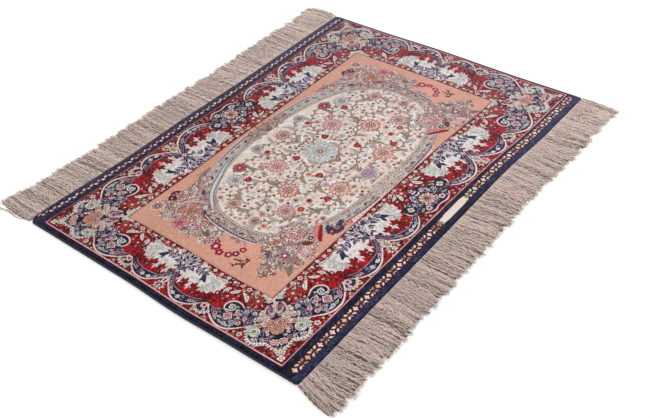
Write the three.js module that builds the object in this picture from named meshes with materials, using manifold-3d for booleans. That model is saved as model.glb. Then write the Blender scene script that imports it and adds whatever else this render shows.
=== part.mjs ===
// A small hand-knotted silk rug, lying flat: the knotted cloth, an overcast cord along
// each selvedge, and a flat-woven end with its warp fringe at each of the two long sides.
// Millimetres, +Z up. X runs along the fringed sides, Y along the selvedges.

import * as THREE from 'three';
import { mergeVertices } from 'three/addons/utils/BufferGeometryUtils.js';
import Module from 'manifold-3d';

// Driving dimensions, in mm
const RUG_WIDTH = 900;          // over both overcast selvedges, along the fringed sides
const PILE_DEPTH = 624;         // pile edge to pile edge, along the selvedges
const PILE_THICKNESS = 4;       // silk foundation and clipped pile together
const PILE_EDGE_ROUND = 0.8;    // the clipped edge of the pile
const PILE_UNEVENNESS = 0.35;   // how far the top of the cloth wanders up and down
const CORNER_ROUND = { back_near: 12, back_far: 3, front_near: 4, front_far: 3 };
const SELVEDGE_WIDTH = 4;       // overcast cord
const SELVEDGE_HEIGHT = 3.4;
const GAP = 0.3;                // between neighbouring pieces
const STRIP_WIDTH = 5;          // flat-woven end between the pile and the free warps
const STRIP_HEIGHT = 1.8;
const STRANDS_PER_SIDE = 148;   // locks of free warps
const STRAND_WIDTH = 4.2;
const STRAND_HEIGHT = 1.3;
const STRAND_TIP = 0.45;        // a lock's width and height at its tip, against its root
const STRAND_ROOT_OVERLAP = 2;  // how far a lock reaches back into the flat-woven end
const FRINGE_LENGTH = { front: 78, back: 83 };
const FRINGE_RAGGED = 5;        // how much one lock is longer or shorter than the next
const STRAND_SWAY = 0.55;       // sideways wave of one lock
const FLOW_SWAY = 5;            // sideways drift that neighbouring locks share

// How far each edge bulges out of a straight line. at: place along the edge, out: bulge
const EDGE_BULGE = {
  near: [
    { at: -315, out: 0 }, { at: -200, out: 1.5 }, { at: -70, out: 4 },
    { at: 60, out: 0.5 }, { at: 315, out: 0.5 },
  ],
  far: [
    { at: -315, out: 0 }, { at: -160, out: -1 }, { at: 30, out: 2.5 },
    { at: 180, out: 0 }, { at: 315, out: 0.5 },
  ],
  front: [
    { at: -450, out: 3 }, { at: -200, out: 0.5 }, { at: 150, out: -2.5 },
    { at: 300, out: 4 }, { at: 450, out: 4 },
  ],
  back: [
    { at: -450, out: 2 }, { at: -210, out: -4 }, { at: -60, out: -1 },
    { at: 60, out: -3 }, { at: 450, out: 1 },
  ],
};

// How a fringe spreads at its ends. middle and tip: sideways shift of the outermost lock
// halfway along it and at its tip, positive away from the rug's middle. longer: extra length
const FRINGE_ENDS = {
  front: { near: { middle: 9, tip: 15, longer: 1 }, far: { middle: 1, tip: -6, longer: 4 } },
  back: { near: { middle: 2, tip: -4, longer: 13 }, far: { middle: 9, tip: -6, longer: 7 } },
};
const END_REACH = 70;           // how far in from a selvedge that spreading is felt

// One warp that has come loose beside the back fringe: it leaves the flat-woven end, bows
// out in a small loop and drifts off. x, y: its path over the floor
const LOOSE_WARP = [
  { x: -446.5, y: 313 }, { x: -451.5, y: 326 }, { x: -456.5, y: 341 }, { x: -457, y: 356 },
  { x: -453.5, y: 370 }, { x: -458, y: 384 }, { x: -467, y: 394 }, { x: -477, y: 401 },
];
const LOOSE_WARP_WIDTH = 1.6;
const LOOSE_WARP_HEIGHT = 1.1;

// How finely the forms are divided
const PILE_COLUMNS = 24;
const PILE_ROWS = 20;
const STRIP_STEPS = 30;
const STRAND_STATIONS = [0, 0.3, 0.62, 1];   // share of a lock's length

const wasm = await Module();
wasm.setup();

const half = { x: RUG_WIDTH / 2, y: PILE_DEPTH / 2 };

// Height of a smooth curve through a table's rows, eased from row to row
function eased(table, at) {
  const last = table.length - 1;
  if (at <= table[0].at) return table[0].out;
  if (at >= table[last].at) return table[last].out;
  const next = table.findIndex((row) => row.at > at);
  const a = table[next - 1];
  const b = table[next];
  const t = THREE.MathUtils.smoothstep(at, a.at, b.at);
  return a.out + (b.out - a.out) * t;
}

// Signed place of an edge: the near selvedge and the front edge lie on the negative side
const edgeX = {
  near: (y) => -half.x - eased(EDGE_BULGE.near, y),
  far: (y) => half.x + eased(EDGE_BULGE.far, y),
};
const edgeY = {
  front: (x) => -half.y - eased(EDGE_BULGE.front, x),
  back: (x) => half.y + eased(EDGE_BULGE.back, x),
};

// A steady number between -1 and 1 for a whole number, different for each seed
function steady(index, seed) {
  const wave = Math.sin(index * 12.9898 + seed * 78.233) * 43758.5453;
  return 2 * (wave - Math.floor(wave)) - 1;
}

// The top of the cloth wanders by a sum of two slow waves
function unevenness(x, y) {
  const slow = Math.sin(x / 83 + 0.6) * Math.cos(y / 71 - 0.4);
  const slower = Math.sin(x / 190 - y / 160 + 1.1);
  return PILE_UNEVENNESS * (0.55 * slow + 0.45 * slower);
}

// How far a corner's rounding pulls the selvedge side in, at a distance along it
function cornerPull(radius, distance) {
  if (distance >= radius) return 0;
  return radius - Math.sqrt(radius * radius - (radius - distance) * (radius - distance));
}

// Extent of the pile across X at a given Y, with the corner roundings
function pileSides(y, inset) {
  const fromBack = edgeY.back(0) - y;
  const fromFront = y - edgeY.front(0);
  const clear = SELVEDGE_WIDTH + GAP + inset;
  const pull = (radiusBack, radiusFront) =>
    cornerPull(radiusBack, Math.max(fromBack, 0)) + cornerPull(radiusFront, Math.max(fromFront, 0));
  return {
    low: edgeX.near(y) + clear + pull(CORNER_ROUND.back_near, CORNER_ROUND.front_near),
    high: edgeX.far(y) - clear - pull(CORNER_ROUND.back_far, CORNER_ROUND.front_far),
  };
}

// The rows of the cloth, closer together towards the front and back edges, where corners round
function rowShare(row) {
  return (1 - Math.cos((Math.PI * row) / PILE_ROWS)) / 2;
}

// A place on the pile's plan: u runs from the near selvedge to the far one, v from front to back
function pilePlace(u, v, inset) {
  const middleY = THREE.MathUtils.lerp(-half.y, half.y, v);
  const sides = pileSides(middleY, inset);
  const x = THREE.MathUtils.lerp(sides.low, sides.high, u);
  const y = THREE.MathUtils.lerp(edgeY.front(x) + inset, edgeY.back(x) - inset, v);
  return { x, y };
}

// A closed mesh from points and triangles
function closedGeometry(points, triangles) {
  const geometry = new THREE.BufferGeometry();
  geometry.setAttribute('position', new THREE.Float32BufferAttribute(points, 3));
  geometry.setIndex(triangles);
  return geometry;
}

// The knotted cloth: a flat underside, upright sides and a top that is inset by the clipped
// edge. Three grids share one numbering: underside, side rim, top
function pileGeometry() {
  const points = [];
  const triangles = [];
  const across = PILE_COLUMNS + 1;
  const rimHeight = PILE_THICKNESS - PILE_EDGE_ROUND;
  const grid = (inset, heightAt) => {
    const first = points.length / 3;
    for (let row = 0; row <= PILE_ROWS; row += 1) {
      for (let column = 0; column <= PILE_COLUMNS; column += 1) {
        const { x, y } = pilePlace(column / PILE_COLUMNS, rowShare(row), inset);
        points.push(x, y, heightAt(x, y));
      }
    }
    return (column, row) => first + row * across + column;
  };
  const under = grid(0, () => 0);
  const top = grid(PILE_EDGE_ROUND, (x, y) => PILE_THICKNESS + unevenness(x, y));
  for (let row = 0; row < PILE_ROWS; row += 1) {
    for (let column = 0; column < PILE_COLUMNS; column += 1) {
      for (const [at, up] of [[top, true], [under, false]]) {
        const a = at(column, row);
        const b = at(column + 1, row);
        const c = at(column + 1, row + 1);
        const d = at(column, row + 1);
        triangles.push(...(up ? [a, b, c, a, c, d] : [a, c, b, a, d, c]));
      }
    }
  }
  // The rim runs round the outline, counter-clockwise seen from above
  const outline = [];
  for (let column = 0; column < PILE_COLUMNS; column += 1) outline.push([column, 0]);
  for (let row = 0; row < PILE_ROWS; row += 1) outline.push([PILE_COLUMNS, row]);
  for (let column = PILE_COLUMNS; column > 0; column -= 1) outline.push([column, PILE_ROWS]);
  for (let row = PILE_ROWS; row > 0; row -= 1) outline.push([0, row]);
  const rim = outline.map(([column, row]) => {
    const { x, y } = pilePlace(column / PILE_COLUMNS, rowShare(row), 0);
    points.push(x, y, rimHeight);
    return points.length / 3 - 1;
  });
  outline.forEach((place, step) => {
    const next = (step + 1) % outline.length;
    const pairs = [[under(...place), under(...outline[next])], [rim[step], rim[next]],
      [top(...place), top(...outline[next])]];
    for (let ring = 0; ring < 2; ring += 1) {
      const [low, lowNext] = pairs[ring];
      const [high, highNext] = pairs[ring + 1];
      triangles.push(low, lowNext, highNext, low, highNext, high);
    }
  });
  return closedGeometry(points, triangles);
}

// Six times the volume that triangles enclose, negative where they face inwards
function signedVolume(points, triangles) {
  const corner = (index) => new THREE.Vector3().fromArray(points, 3 * index);
  let sum = 0;
  for (let first = 0; first < triangles.length; first += 3) {
    const [a, b, c] = [0, 1, 2].map((step) => corner(triangles[first + step]));
    sum += a.dot(b.cross(c));
  }
  return sum;
}

// A closed loft: rings of equal size, each a list of points, joined and capped. Its faces
// point outwards whichever way the rings run
function loft(rings) {
  const points = rings.flat(2);
  const size = rings[0].length;
  const triangles = [];
  for (let ring = 0; ring + 1 < rings.length; ring += 1) {
    for (let side = 0; side < size; side += 1) {
      const a = ring * size + side;
      const b = ring * size + ((side + 1) % size);
      triangles.push(a, b, b + size, a, b + size, a + size);
    }
  }
  const last = (rings.length - 1) * size;
  for (let side = 1; side + 1 < size; side += 1) {
    triangles.push(0, side + 1, side);
    triangles.push(last, last + side, last + side + 1);
  }
  if (signedVolume(points, triangles) < 0) triangles.reverse();
  return closedGeometry(points, triangles);
}

// The section of an overcast cord that lies on the floor: flat below, round above.
// across: share of its width from the middle, up: share of its height
const CORD_SECTION = [
  { across: -0.38, up: 0 }, { across: 0.38, up: 0 }, { across: 0.5, up: 0.35 },
  { across: 0.42, up: 0.75 }, { across: 0.16, up: 1 }, { across: -0.16, up: 1 },
  { across: -0.42, up: 0.75 }, { across: -0.5, up: 0.35 },
];

// One overcast selvedge, beside the pile's edge at every row of the cloth
function selvedgeGeometry(side) {
  const outward = side === 'near' ? -1 : 1;
  const rings = [];
  for (let row = 0; row <= PILE_ROWS; row += 1) {
    const { x, y } = pilePlace(side === 'near' ? 0 : 1, rowShare(row), 0);
    const middle = x + outward * (GAP + SELVEDGE_WIDTH / 2);
    rings.push(CORD_SECTION.map(({ across, up }) =>
      [middle + across * SELVEDGE_WIDTH, y, up * SELVEDGE_HEIGHT]));
  }
  return loft(rings);
}

// A solid of a closed geometry, for joining
function toSolid(geometry) {
  const bare = geometry.clone();
  for (const name of Object.keys(bare.attributes)) if (name !== 'position') bare.deleteAttribute(name);
  const merged = mergeVertices(bare, 1e-4);
  return new wasm.Manifold(new wasm.Mesh({
    numProp: 3,
    vertProperties: new Float32Array(merged.attributes.position.array),
    triVerts: new Uint32Array(merged.index.array),
  }));
}

// The geometry of a joined solid
function toGeometry(solid) {
  const mesh = solid.getMesh();
  return closedGeometry(Array.from(mesh.vertProperties), Array.from(mesh.triVerts));
}

// The flat-woven end: a thin strip beside the pile's edge. outward is -1 in front, 1 behind
function stripGeometry(side, outward) {
  const rings = [];
  const reach = half.x - 1;
  for (let step = 0; step <= STRIP_STEPS; step += 1) {
    const x = THREE.MathUtils.lerp(-reach, reach, step / STRIP_STEPS) * outward;
    const inner = edgeY[side](x) + outward * GAP;
    const outer = inner + outward * STRIP_WIDTH;
    rings.push([[x, outer, 0], [x, inner, 0], [x, inner, STRIP_HEIGHT], [x, outer, STRIP_HEIGHT]]);
  }
  return loft(rings);
}

// How strongly the spreading at a selvedge is felt at a place along the fringe
function endShare(x, side) {
  const distance = side === 'near' ? x + half.x : half.x - x;
  return Math.pow(THREE.MathUtils.clamp(1 - distance / END_REACH, 0, 1), 1.5);
}

// Sideways place of a lock at a share t of its length: its own wave, a drift that its
// neighbours share, and the spreading at the fringe's ends
function strandX(side, index, x, t) {
  const ends = FRINGE_ENDS[side];
  const bow = (end) => end.middle * 4 * t * (1 - t) + end.tip * t * (2 * t - 1);
  const spread = endShare(x, 'far') * bow(ends.far) - endShare(x, 'near') * bow(ends.near);
  const drift = FLOW_SWAY * t * Math.sin(x / 57 + (side === 'front' ? 0.5 : 2.2) + 1.1 * t);
  const fading = 1 - Math.max(endShare(x, 'near'), endShare(x, 'far'));
  const wave = STRAND_SWAY * t * Math.sin(5.2 * t + 3 * steady(index, 2));
  return x + spread + drift * fading + wave;
}

// One lock of free warps: a four-sided strand that rests level on the floor, from inside the
// flat-woven end to its tip, narrower and lower towards the tip
function strandGeometry(side, outward, index, x) {
  const longer = endShare(x, 'near') * FRINGE_ENDS[side].near.longer
    + endShare(x, 'far') * FRINGE_ENDS[side].far.longer;
  const length = FRINGE_LENGTH[side] - STRIP_WIDTH + longer + FRINGE_RAGGED * steady(index, 1);
  const root = edgeY[side](x) + outward * (GAP + STRIP_WIDTH - STRAND_ROOT_OVERLAP);
  const rings = STRAND_STATIONS.map((t) => {
    const share = THREE.MathUtils.lerp(1, STRAND_TIP, t * t);
    const wide = (STRAND_WIDTH / 2) * share * outward;
    const high = STRAND_HEIGHT * THREE.MathUtils.lerp(1, STRAND_TIP, t);
    const y = root + outward * t * (length + STRAND_ROOT_OVERLAP);
    const middle = strandX(side, index, x, t);
    return [[middle - wide, y, 0], [middle - wide * 0.8, y, high],
      [middle + wide * 0.8, y, high], [middle + wide, y, 0]];
  });
  return loft(rings);
}

// The loose warp: a thin four-sided strand along a smooth curve through its table
function looseWarpGeometry() {
  const path = new THREE.CatmullRomCurve3(LOOSE_WARP.map(({ x, y }) => new THREE.Vector3(x, y, 0)));
  const steps = LOOSE_WARP.length * 3;
  const rings = [];
  for (let step = 0; step <= steps; step += 1) {
    const place = path.getPoint(step / steps);
    const along = path.getTangent(step / steps);
    const wide = LOOSE_WARP_WIDTH / 2;
    const left = new THREE.Vector3(-along.y, along.x, 0).multiplyScalar(wide);
    rings.push([
      [place.x + left.x, place.y + left.y, 0],
      [place.x + left.x * 0.8, place.y + left.y * 0.8, LOOSE_WARP_HEIGHT],
      [place.x - left.x * 0.8, place.y - left.y * 0.8, LOOSE_WARP_HEIGHT],
      [place.x - left.x, place.y - left.y, 0],
    ]);
  }
  return loft(rings);
}

// A fringe: the flat-woven end with all its locks, their roots fused into it
function fringeGeometry(side) {
  const outward = side === 'front' ? -1 : 1;
  let solid = toSolid(stripGeometry(side, outward));
  const first = -half.x + 1 + STRAND_WIDTH / 2;
  const pitch = (-2 * first) / (STRANDS_PER_SIDE - 1);
  for (let index = 0; index < STRANDS_PER_SIDE; index += 1) {
    const x = first + index * pitch;
    solid = solid.add(toSolid(strandGeometry(side, outward, index, x)));
  }
  if (side === 'back') solid = solid.add(toSolid(looseWarpGeometry()));
  return toGeometry(solid);
}

function named(name, geometry, material) {
  const mesh = new THREE.Mesh(geometry, material);
  mesh.name = name;
  return mesh;
}

const silkPile = () => new THREE.MeshStandardMaterial({ color: 0x9c2b33, roughness: 0.55, metalness: 0 });
const overcastSilk = () => new THREE.MeshStandardMaterial({ color: 0x23233a, roughness: 0.6, metalness: 0 });
const warpSilk = () => new THREE.MeshStandardMaterial({ color: 0xb8a89c, roughness: 0.65, metalness: 0 });

const cloth = new THREE.Group();
cloth.add(named('rug_pile', pileGeometry(), silkPile()));
cloth.add(named('selvedge_near', selvedgeGeometry('near'), overcastSilk()));
cloth.add(named('selvedge_far', selvedgeGeometry('far'), overcastSilk()));
cloth.add(named('fringe_front', fringeGeometry('front'), warpSilk()));
cloth.add(named('fringe_back', fringeGeometry('back'), warpSilk()));

// The origin is the middle of the box that holds the whole rug, on the floor
const box = new THREE.Box3().setFromObject(cloth);
const middle = box.getCenter(new THREE.Vector3());
cloth.position.set(-middle.x, -middle.y, 0);

const rug = new THREE.Group();
rug.add(cloth);

export default rug;
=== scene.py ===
"""The looks of a small hand-knotted silk rug: its knotted pile, overcast selvedges,
flat-woven ends and warp fringe, laid out as a Blender add-on and run as a script.

Plan coordinates are millimetres from the rug's middle, X along the fringed sides and Y along
the selvedges. plan_to_part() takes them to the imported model's frame, in metres."""

import math

import bpy
import numpy as np
from bpy.props import FloatProperty, FloatVectorProperty, IntProperty, PointerProperty
from mathutils import Matrix, Vector


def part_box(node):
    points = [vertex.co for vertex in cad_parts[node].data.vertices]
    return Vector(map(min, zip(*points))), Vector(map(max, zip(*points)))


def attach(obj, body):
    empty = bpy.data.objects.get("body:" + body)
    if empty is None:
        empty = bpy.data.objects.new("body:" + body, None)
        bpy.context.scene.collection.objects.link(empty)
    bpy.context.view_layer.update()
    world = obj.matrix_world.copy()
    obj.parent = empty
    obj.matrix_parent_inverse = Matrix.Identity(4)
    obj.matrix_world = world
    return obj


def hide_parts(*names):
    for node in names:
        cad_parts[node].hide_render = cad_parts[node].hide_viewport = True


bl_info = {
    "name": "Knotted Silk Rug",
    "version": (1, 0, 0),
    "blender": (4, 5, 0),
    "location": "3D View > Sidebar > Rug",
    "description": "Knots the pile, winds the selvedges and lays the fringes of a silk rug",
    "category": "Add Mesh",
}

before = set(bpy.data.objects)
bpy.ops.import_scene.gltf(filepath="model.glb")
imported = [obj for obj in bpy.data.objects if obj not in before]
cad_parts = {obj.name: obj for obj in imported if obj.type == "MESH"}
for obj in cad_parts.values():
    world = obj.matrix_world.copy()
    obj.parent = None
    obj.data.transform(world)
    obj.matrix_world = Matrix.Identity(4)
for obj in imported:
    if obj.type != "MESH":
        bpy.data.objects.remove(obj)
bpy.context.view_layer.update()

MM = 0.001
PICTURE_WIDTH = 650            # pixels

# Sizes of the rug in mm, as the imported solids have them
RUG_WIDTH = 900.0
PILE_DEPTH = 624.0
PILE_THICKNESS = 4.0
PILE_UNEVENNESS = 0.35
CORNER_ROUND = {"back_near": 12.0, "back_far": 3.0, "front_near": 4.0, "front_far": 3.0}
SELVEDGE_WIDTH = 4.0
SELVEDGE_HEIGHT = 3.4
GAP = 0.3
STRIP_WIDTH = 5.0
LOCKS_PER_SIDE = 148
FRINGE_LENGTH = {"front": 78.0, "back": 83.0}
FRINGE_RAGGED = 5.0
FLOW_SWAY = 5.0
END_REACH = 70.0
HALF_WIDTH = RUG_WIDTH / 2
HALF_DEPTH = PILE_DEPTH / 2

# How far each edge bulges out of a straight line: rows of (place along the edge, bulge)
EDGE_BULGE = {
    "near": ((-315, 0), (-200, 1.5), (-70, 4), (60, 0.5), (315, 0.5)),
    "far": ((-315, 0), (-160, -1), (30, 2.5), (180, 0), (315, 0.5)),
    "front": ((-450, 3), (-200, 0.5), (150, -2.5), (300, 4), (450, 4)),
    "back": ((-450, 2), (-210, -4), (-60, -1), (60, -3), (450, 1)),
}

# How a fringe spreads at its ends: (shift halfway, shift at the tip, extra length)
FRINGE_ENDS = {
    ("front", "near"): (9, 15, 1), ("front", "far"): (1, -6, 4),
    ("back", "near"): (2, -4, 13), ("back", "far"): (9, -6, 7),
}

# The one warp that has come loose beside the back fringe, (x, y) over the floor
LOOSE_WARP = ((-446.5, 313), (-451.5, 326), (-456.5, 341), (-457, 356),
              (-453.5, 370), (-458, 384), (-467, 394), (-477, 401))

# The camera, in plan mm and degrees, and its lens for a sensor 36 mm wide
CAMERA_PLACE = (-1021.8, -890.75, 1018.5)
CAMERA_AZIMUTH = 48.891
CAMERA_DOWN = 40.326
CAMERA_ROLL = -4.018
FOCAL_PIXELS = 885.1
SENSOR_WIDTH = 36.0

# The knots: the chart has one yarn for each, and each face of the pile holds CELL by CELL knots
CELL = 4
CELL_COLUMNS = 248
CELL_ROWS = 173
YARN_SLOTS = 32                # numbers that five bits can hold
PILE_INSET = SELVEDGE_WIDTH + GAP
PILE_EDGE_ROUND = 0.4          # mm that the pile's rim is pulled in at the top
PILE_EDGE_DROP = 0.4           # mm that the pile sinks at its edge
PILE_EDGE_REACH = 5.0          # mm from the edge where it starts to sink

# The yarns of the pile, by name, with their colours as seen
YARNS = {
    "navy": (0.085, 0.080, 0.165),
    "ink": (0.045, 0.035, 0.070),
    "red": (0.550, 0.030, 0.062),
    "maroon": (0.270, 0.025, 0.055),
    "cream": (0.870, 0.825, 0.775),
    "mint": (0.800, 0.795, 0.770),
    "peach": (0.810, 0.590, 0.510),
    "salmon": (0.790, 0.500, 0.430),
    "pink": (0.820, 0.580, 0.610),
    "rose": (0.640, 0.220, 0.330),
    "slate": (0.500, 0.520, 0.590),
    "sky": (0.715, 0.750, 0.770),
    "olive": (0.620, 0.575, 0.400),
    "brown": (0.380, 0.205, 0.170),
    "sage": (0.450, 0.480, 0.410),
    "mauve": (0.640, 0.550, 0.630),
    "blush": (0.870, 0.765, 0.725),
    "steel": (0.240, 0.270, 0.380),
    "gold": (0.660, 0.470, 0.290),
    "sand": (0.770, 0.700, 0.630),
    "taupe": (0.520, 0.440, 0.405),
    "umber": (0.250, 0.095, 0.080),
    "apricot": (0.780, 0.560, 0.450),
    "plum": (0.320, 0.180, 0.290),
    "teal": (0.170, 0.270, 0.300),
    "coral": (0.770, 0.230, 0.210),
    "dust": (0.650, 0.500, 0.480),
    "ivory": (0.850, 0.800, 0.755),
    "pearl": (0.870, 0.850, 0.845),
    "lilac": (0.760, 0.690, 0.770),
    "indigo": (0.135, 0.130, 0.255),
    "crimson": (0.695, 0.065, 0.120),
}
YARN = {name: number for number, name in enumerate(YARNS)}


def turned(u, v, turn):
    """Coordinates seen by a motif that is turned counter-clockwise by an angle in degrees."""
    angle = np.radians(turn)
    return np.cos(angle) * u + np.sin(angle) * v, np.cos(angle) * v - np.sin(angle) * u


def smooth(points, closed=False, steps=7):
    """A curve through the points, each stretch a Catmull-Rom cubic."""
    p = np.asarray(points, float)
    if closed:
        p = np.concatenate([p[-1:], p, p[:2]])
    else:
        p = np.concatenate([2 * p[:1] - p[1:2], p, 2 * p[-1:] - p[-2:-1]])
    t = np.linspace(0, 1, steps, endpoint=False)[None, :, None]
    a, b, c, d = p[:-3, None], p[1:-2, None], p[2:-1, None], p[3:, None]
    curve = 0.5 * (2 * b + (c - a) * t + (2 * a - 5 * b + 4 * c - d) * t ** 2
                   + (3 * b - a - 3 * c + d) * t ** 3)
    curve = curve.reshape(-1, p.shape[1])
    return curve if closed else np.concatenate([curve, p[-2:-1]])


def segments_from(u, v, curve):
    """Distance from each place to each stretch of a curve, and how far along the stretch."""
    a, b = curve[:-1], curve[1:]
    along = b[:, :2] - a[:, :2]
    square = np.maximum((along ** 2).sum(1), 1e-9)
    du, dv = u[:, None] - a[:, 0], v[:, None] - a[:, 1]
    t = np.clip((du * along[:, 0] + dv * along[:, 1]) / square, 0, 1)
    return np.hypot(du - t * along[:, 0], dv - t * along[:, 1]), t


def inside_curve(u, v, curve):
    """Depth inside a closed outline: the distance to it, with the sign of an even-odd test."""
    loop = np.concatenate([curve, curve[:1]])
    a, b = loop[:-1], loop[1:]
    crosses = (a[:, 1] > v[:, None]) != (b[:, 1] > v[:, None])
    rise = np.where(b[:, 1] == a[:, 1], 1e-9, b[:, 1] - a[:, 1])
    where = a[:, 0] + (v[:, None] - a[:, 1]) * (b[:, 0] - a[:, 0]) / rise
    odd = (crosses & (u[:, None] < where)).sum(1) % 2 == 1
    return np.where(odd, 1, -1) * segments_from(u, v, loop)[0].min(1)


class Cartoon:
    """Knots at drawing places (p, q), in mm, and the number of the yarn that each is tied in.
    Tiers are rows of (depth, yarn): the yarn of the knots deeper inside a shape, rim first."""

    def __init__(self, p, q, yarn):
        self.order = np.argsort(p, kind="stable")
        self.p, self.q, self.yarn = p[self.order], q[self.order], yarn[self.order]

    def near(self, p, q, reach_p, reach_q=None):
        """The knots within reach of a place, as positions in this cartoon."""
        reach_q = reach_p if reach_q is None else reach_q
        low, high = np.searchsorted(self.p, (p - reach_p, p + reach_p))
        return low + np.flatnonzero(np.abs(self.q[low:high] - q) < reach_q)

    def seen(self, p, q, turn, reach):
        """The knots within reach of a turned motif, and their places in its own axes."""
        knots = self.near(p, q, reach)
        return knots, *turned(self.p[knots] - p, self.q[knots] - q, turn)

    def around(self, points, extra):
        """The knots in the box round some points."""
        low, high = np.min(points, axis=0)[:2], np.max(points, axis=0)[:2]
        return self.near(*(low + high) / 2, *(high - low) / 2 + extra)

    def dye(self, knots, name):
        self.yarn[knots] = YARN[name]

    def lay(self, knots, depth, tiers):
        for least, name in tiers:
            self.dye(knots[depth > least], name)

    def path(self, points, tiers):
        """A stroke of changing width through points (p, q, width), drawn tier by tier."""
        curve = smooth(points, steps=6)
        pieces = []
        for start in range(0, len(curve) - 1, 6):
            part = curve[start:start + 7]
            knots = self.around(part, part[:, 2].max() / 2 + 2)
            distance, t = segments_from(self.p[knots], self.q[knots], part)
            width = part[:-1, 2] * (1 - t) + part[1:, 2] * t
            pieces.append((knots, (width / 2 - distance).max(1)))
        for tier in tiers:
            for knots, depth in pieces:
                self.lay(knots, depth, [tier])

    def shape(self, points, tiers, straight=False):
        """A closed outline through points, smooth or with straight sides."""
        curve = np.asarray(points, float) if straight else smooth(points, closed=True, steps=6)
        knots = self.around(curve, 2)
        self.lay(knots, inside_curve(self.p[knots], self.q[knots], curve), tiers)

    def result(self):
        """The yarn numbers in the order in which the knots were given."""
        yarn = np.empty_like(self.yarn)
        yarn[self.order] = self.yarn
        return yarn


# Motifs, each with a thin dark outline


def bloom(c, p, q, size, petal="pink", heart="maroon", line="plum", petals=6, turn=15):
    """A flower: round petals with a line between each two, and a heart with a pale eye."""
    knots, u, v = c.seen(p, q, turn, size + 2)
    radius, angle = np.hypot(u, v), np.arctan2(v, u)
    swing = np.abs(np.cos(petals * angle / 2))
    depth = size * (0.7 + 0.3 * swing ** 0.7) - radius
    c.lay(knots, depth, [(-1.0, line), (0, petal)])
    if size > 4:
        seam = (radius * swing * 2 / petals < 0.42) & (radius > 0.35 * size) & (depth > 0)
        c.dye(knots[seam], line)
    c.lay(knots, 0.42 * size - radius, [(0, heart)])
    if size > 6:
        c.lay(knots, 0.2 * size - radius, [(0, "cream")])


def leaf_axes(c, p, q, turn, length, bend):
    """The knots round a leaf whose rib is bowed as a parabola: their places along it and beside
    it, and the share of its length."""
    knots, u, v = c.seen(p, q, turn, length + 2)
    t = np.clip(u / length, 0, 1)
    return knots, u, np.abs(v - bend * 4 * t * (1 - t)), t


def blade(c, p, q, turn, length, width, fill="mint", line="plum", bend=0.0, rim=None):
    """A leaf on the axis of its stalk, bowed to one side, with an outline, a rib and, where it
    is given, a rim in another yarn."""
    knots, u, beside, t = leaf_axes(c, p, q, turn, length, bend)
    half = width / 2 * np.sin(np.pi * t ** 0.8) ** 0.8
    depth = np.minimum(half - beside, np.minimum(u, length - u) + 0.4)
    c.lay(knots, depth, [(-0.9, line), (0, rim or fill), (1.0, fill)])
    if width > 4.5:
        c.dye(knots[(beside < 0.42) & (t > 0.1) & (t < 0.7)], line)


def feather(c, p, q, turn, length, width, fill="mint", line="sage", bend=0.0):
    """A ribbed leaf: slanting lines run from its rib to a notched edge."""
    knots, u, beside, t = leaf_axes(c, p, q, turn, length, bend)
    barbs = (u - 0.7 * beside) / 2.7 % 1
    half = width / 2 * np.sin(np.pi * t ** 0.7) ** 0.7 * (0.82 + 0.18 * np.abs(2 * barbs - 1))
    depth = np.minimum(half - beside, np.minimum(u, length - u) + 0.4)
    c.lay(knots, depth, [(-0.8, line), (0, fill)])
    c.dye(knots[(depth > 0) & ((barbs < 0.3) | (beside < 0.4))], line)


def curl(c, p, q, turn, size, width, yarn, line="plum", hand=1):
    """A scroll that comes in from the left of its own axes and winds into an eye."""
    t = np.linspace(0, 1, 11)
    angle = np.radians(turn) + hand * (np.pi + t * 3.3 * np.pi)
    radius = size * (1 - 0.82 * t) * np.where(t == 0, 1.25, 1)
    rows = np.stack([p + radius * np.cos(angle), q + radius * np.sin(angle), width * (1 - 0.5 * t)], 1)
    c.path(rows, [(-0.9, line), (0, yarn)])


def each(c, motif, rows, *rest):
    """One motif for each row of its first values."""
    for row in rows:
        motif(c, *row, *rest)


def rays(c, p, q, turns, length, width, fills, line, *rest, reach=0.0, tall=1.0, lean=0):
    """Petals round a place, one in each direction, by turns in several yarns. They may start on
    an ellipse about the place and lean by turns to either side."""
    for number, turn in enumerate(turns):
        at = np.radians(turn)
        blade(c, p + reach * np.cos(at), q + reach * np.sin(at) * tall,
              turn + (lean if number % 2 else -lean), length, width, fills[number % len(fills)], line, *rest)


def stations(points, spacing, start=0.6):
    """Places at even spacing along the curve through points, and its direction there."""
    curve = smooth([row[:2] for row in points])
    step = np.diff(curve, axis=0)
    run = np.concatenate([[0], np.cumsum(np.hypot(*step.T))])
    at = np.arange(spacing * start, run[-1] - 1, spacing)
    index = np.minimum(np.searchsorted(run, at), len(step) - 1)
    turn = np.degrees(np.arctan2(step[:, 1], step[:, 0]))
    return list(zip(curve[index], turn[index])), (curve[-1], turn[-1])


def twig(c, points, yarn, width, leaf_size, leaf_yarn, spacing, line=None):
    """A stalk through points, with a small leaf to each side by turns and one at its end."""
    c.path([(p, q, width) for p, q in points], [(-0.8, line), (0, yarn)] if line else [(0, yarn)])
    places, (end, last) = stations(points, spacing)
    for number, (place, turn) in enumerate(places):
        blade(c, *place, turn + (50 if number % 2 else -50), leaf_size, leaf_size * 0.42, leaf_yarn,
              line or yarn, 0.5)
    blade(c, *end, last, leaf_size * 1.1, leaf_size * 0.45, leaf_yarn, line or yarn)


def acanthus(c, points, leaf, spacing, width, fill, inner):
    """A leaf that runs along a path: lobes lean forward on its right, by turns in two yarns, and
    short ones on its left, over a pale stem."""
    places, (end, last) = stations(points, spacing, 0.3)
    for number, (place, turn) in enumerate(places):
        size = leaf * (1 - 0.35 * number / len(places))
        blade(c, *place, turn + 42, size * 0.62, size * 0.34, inner, "plum", 0.4)
        blade(c, *place, turn - 48, size, size * 0.46, (fill, inner)[number % 2], "plum", -0.6)
    blade(c, *end, last - 12, leaf * 0.8, leaf * 0.36, fill, "plum")
    c.path([(p, q, width) for p, q in points], [(0, fill)])


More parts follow.
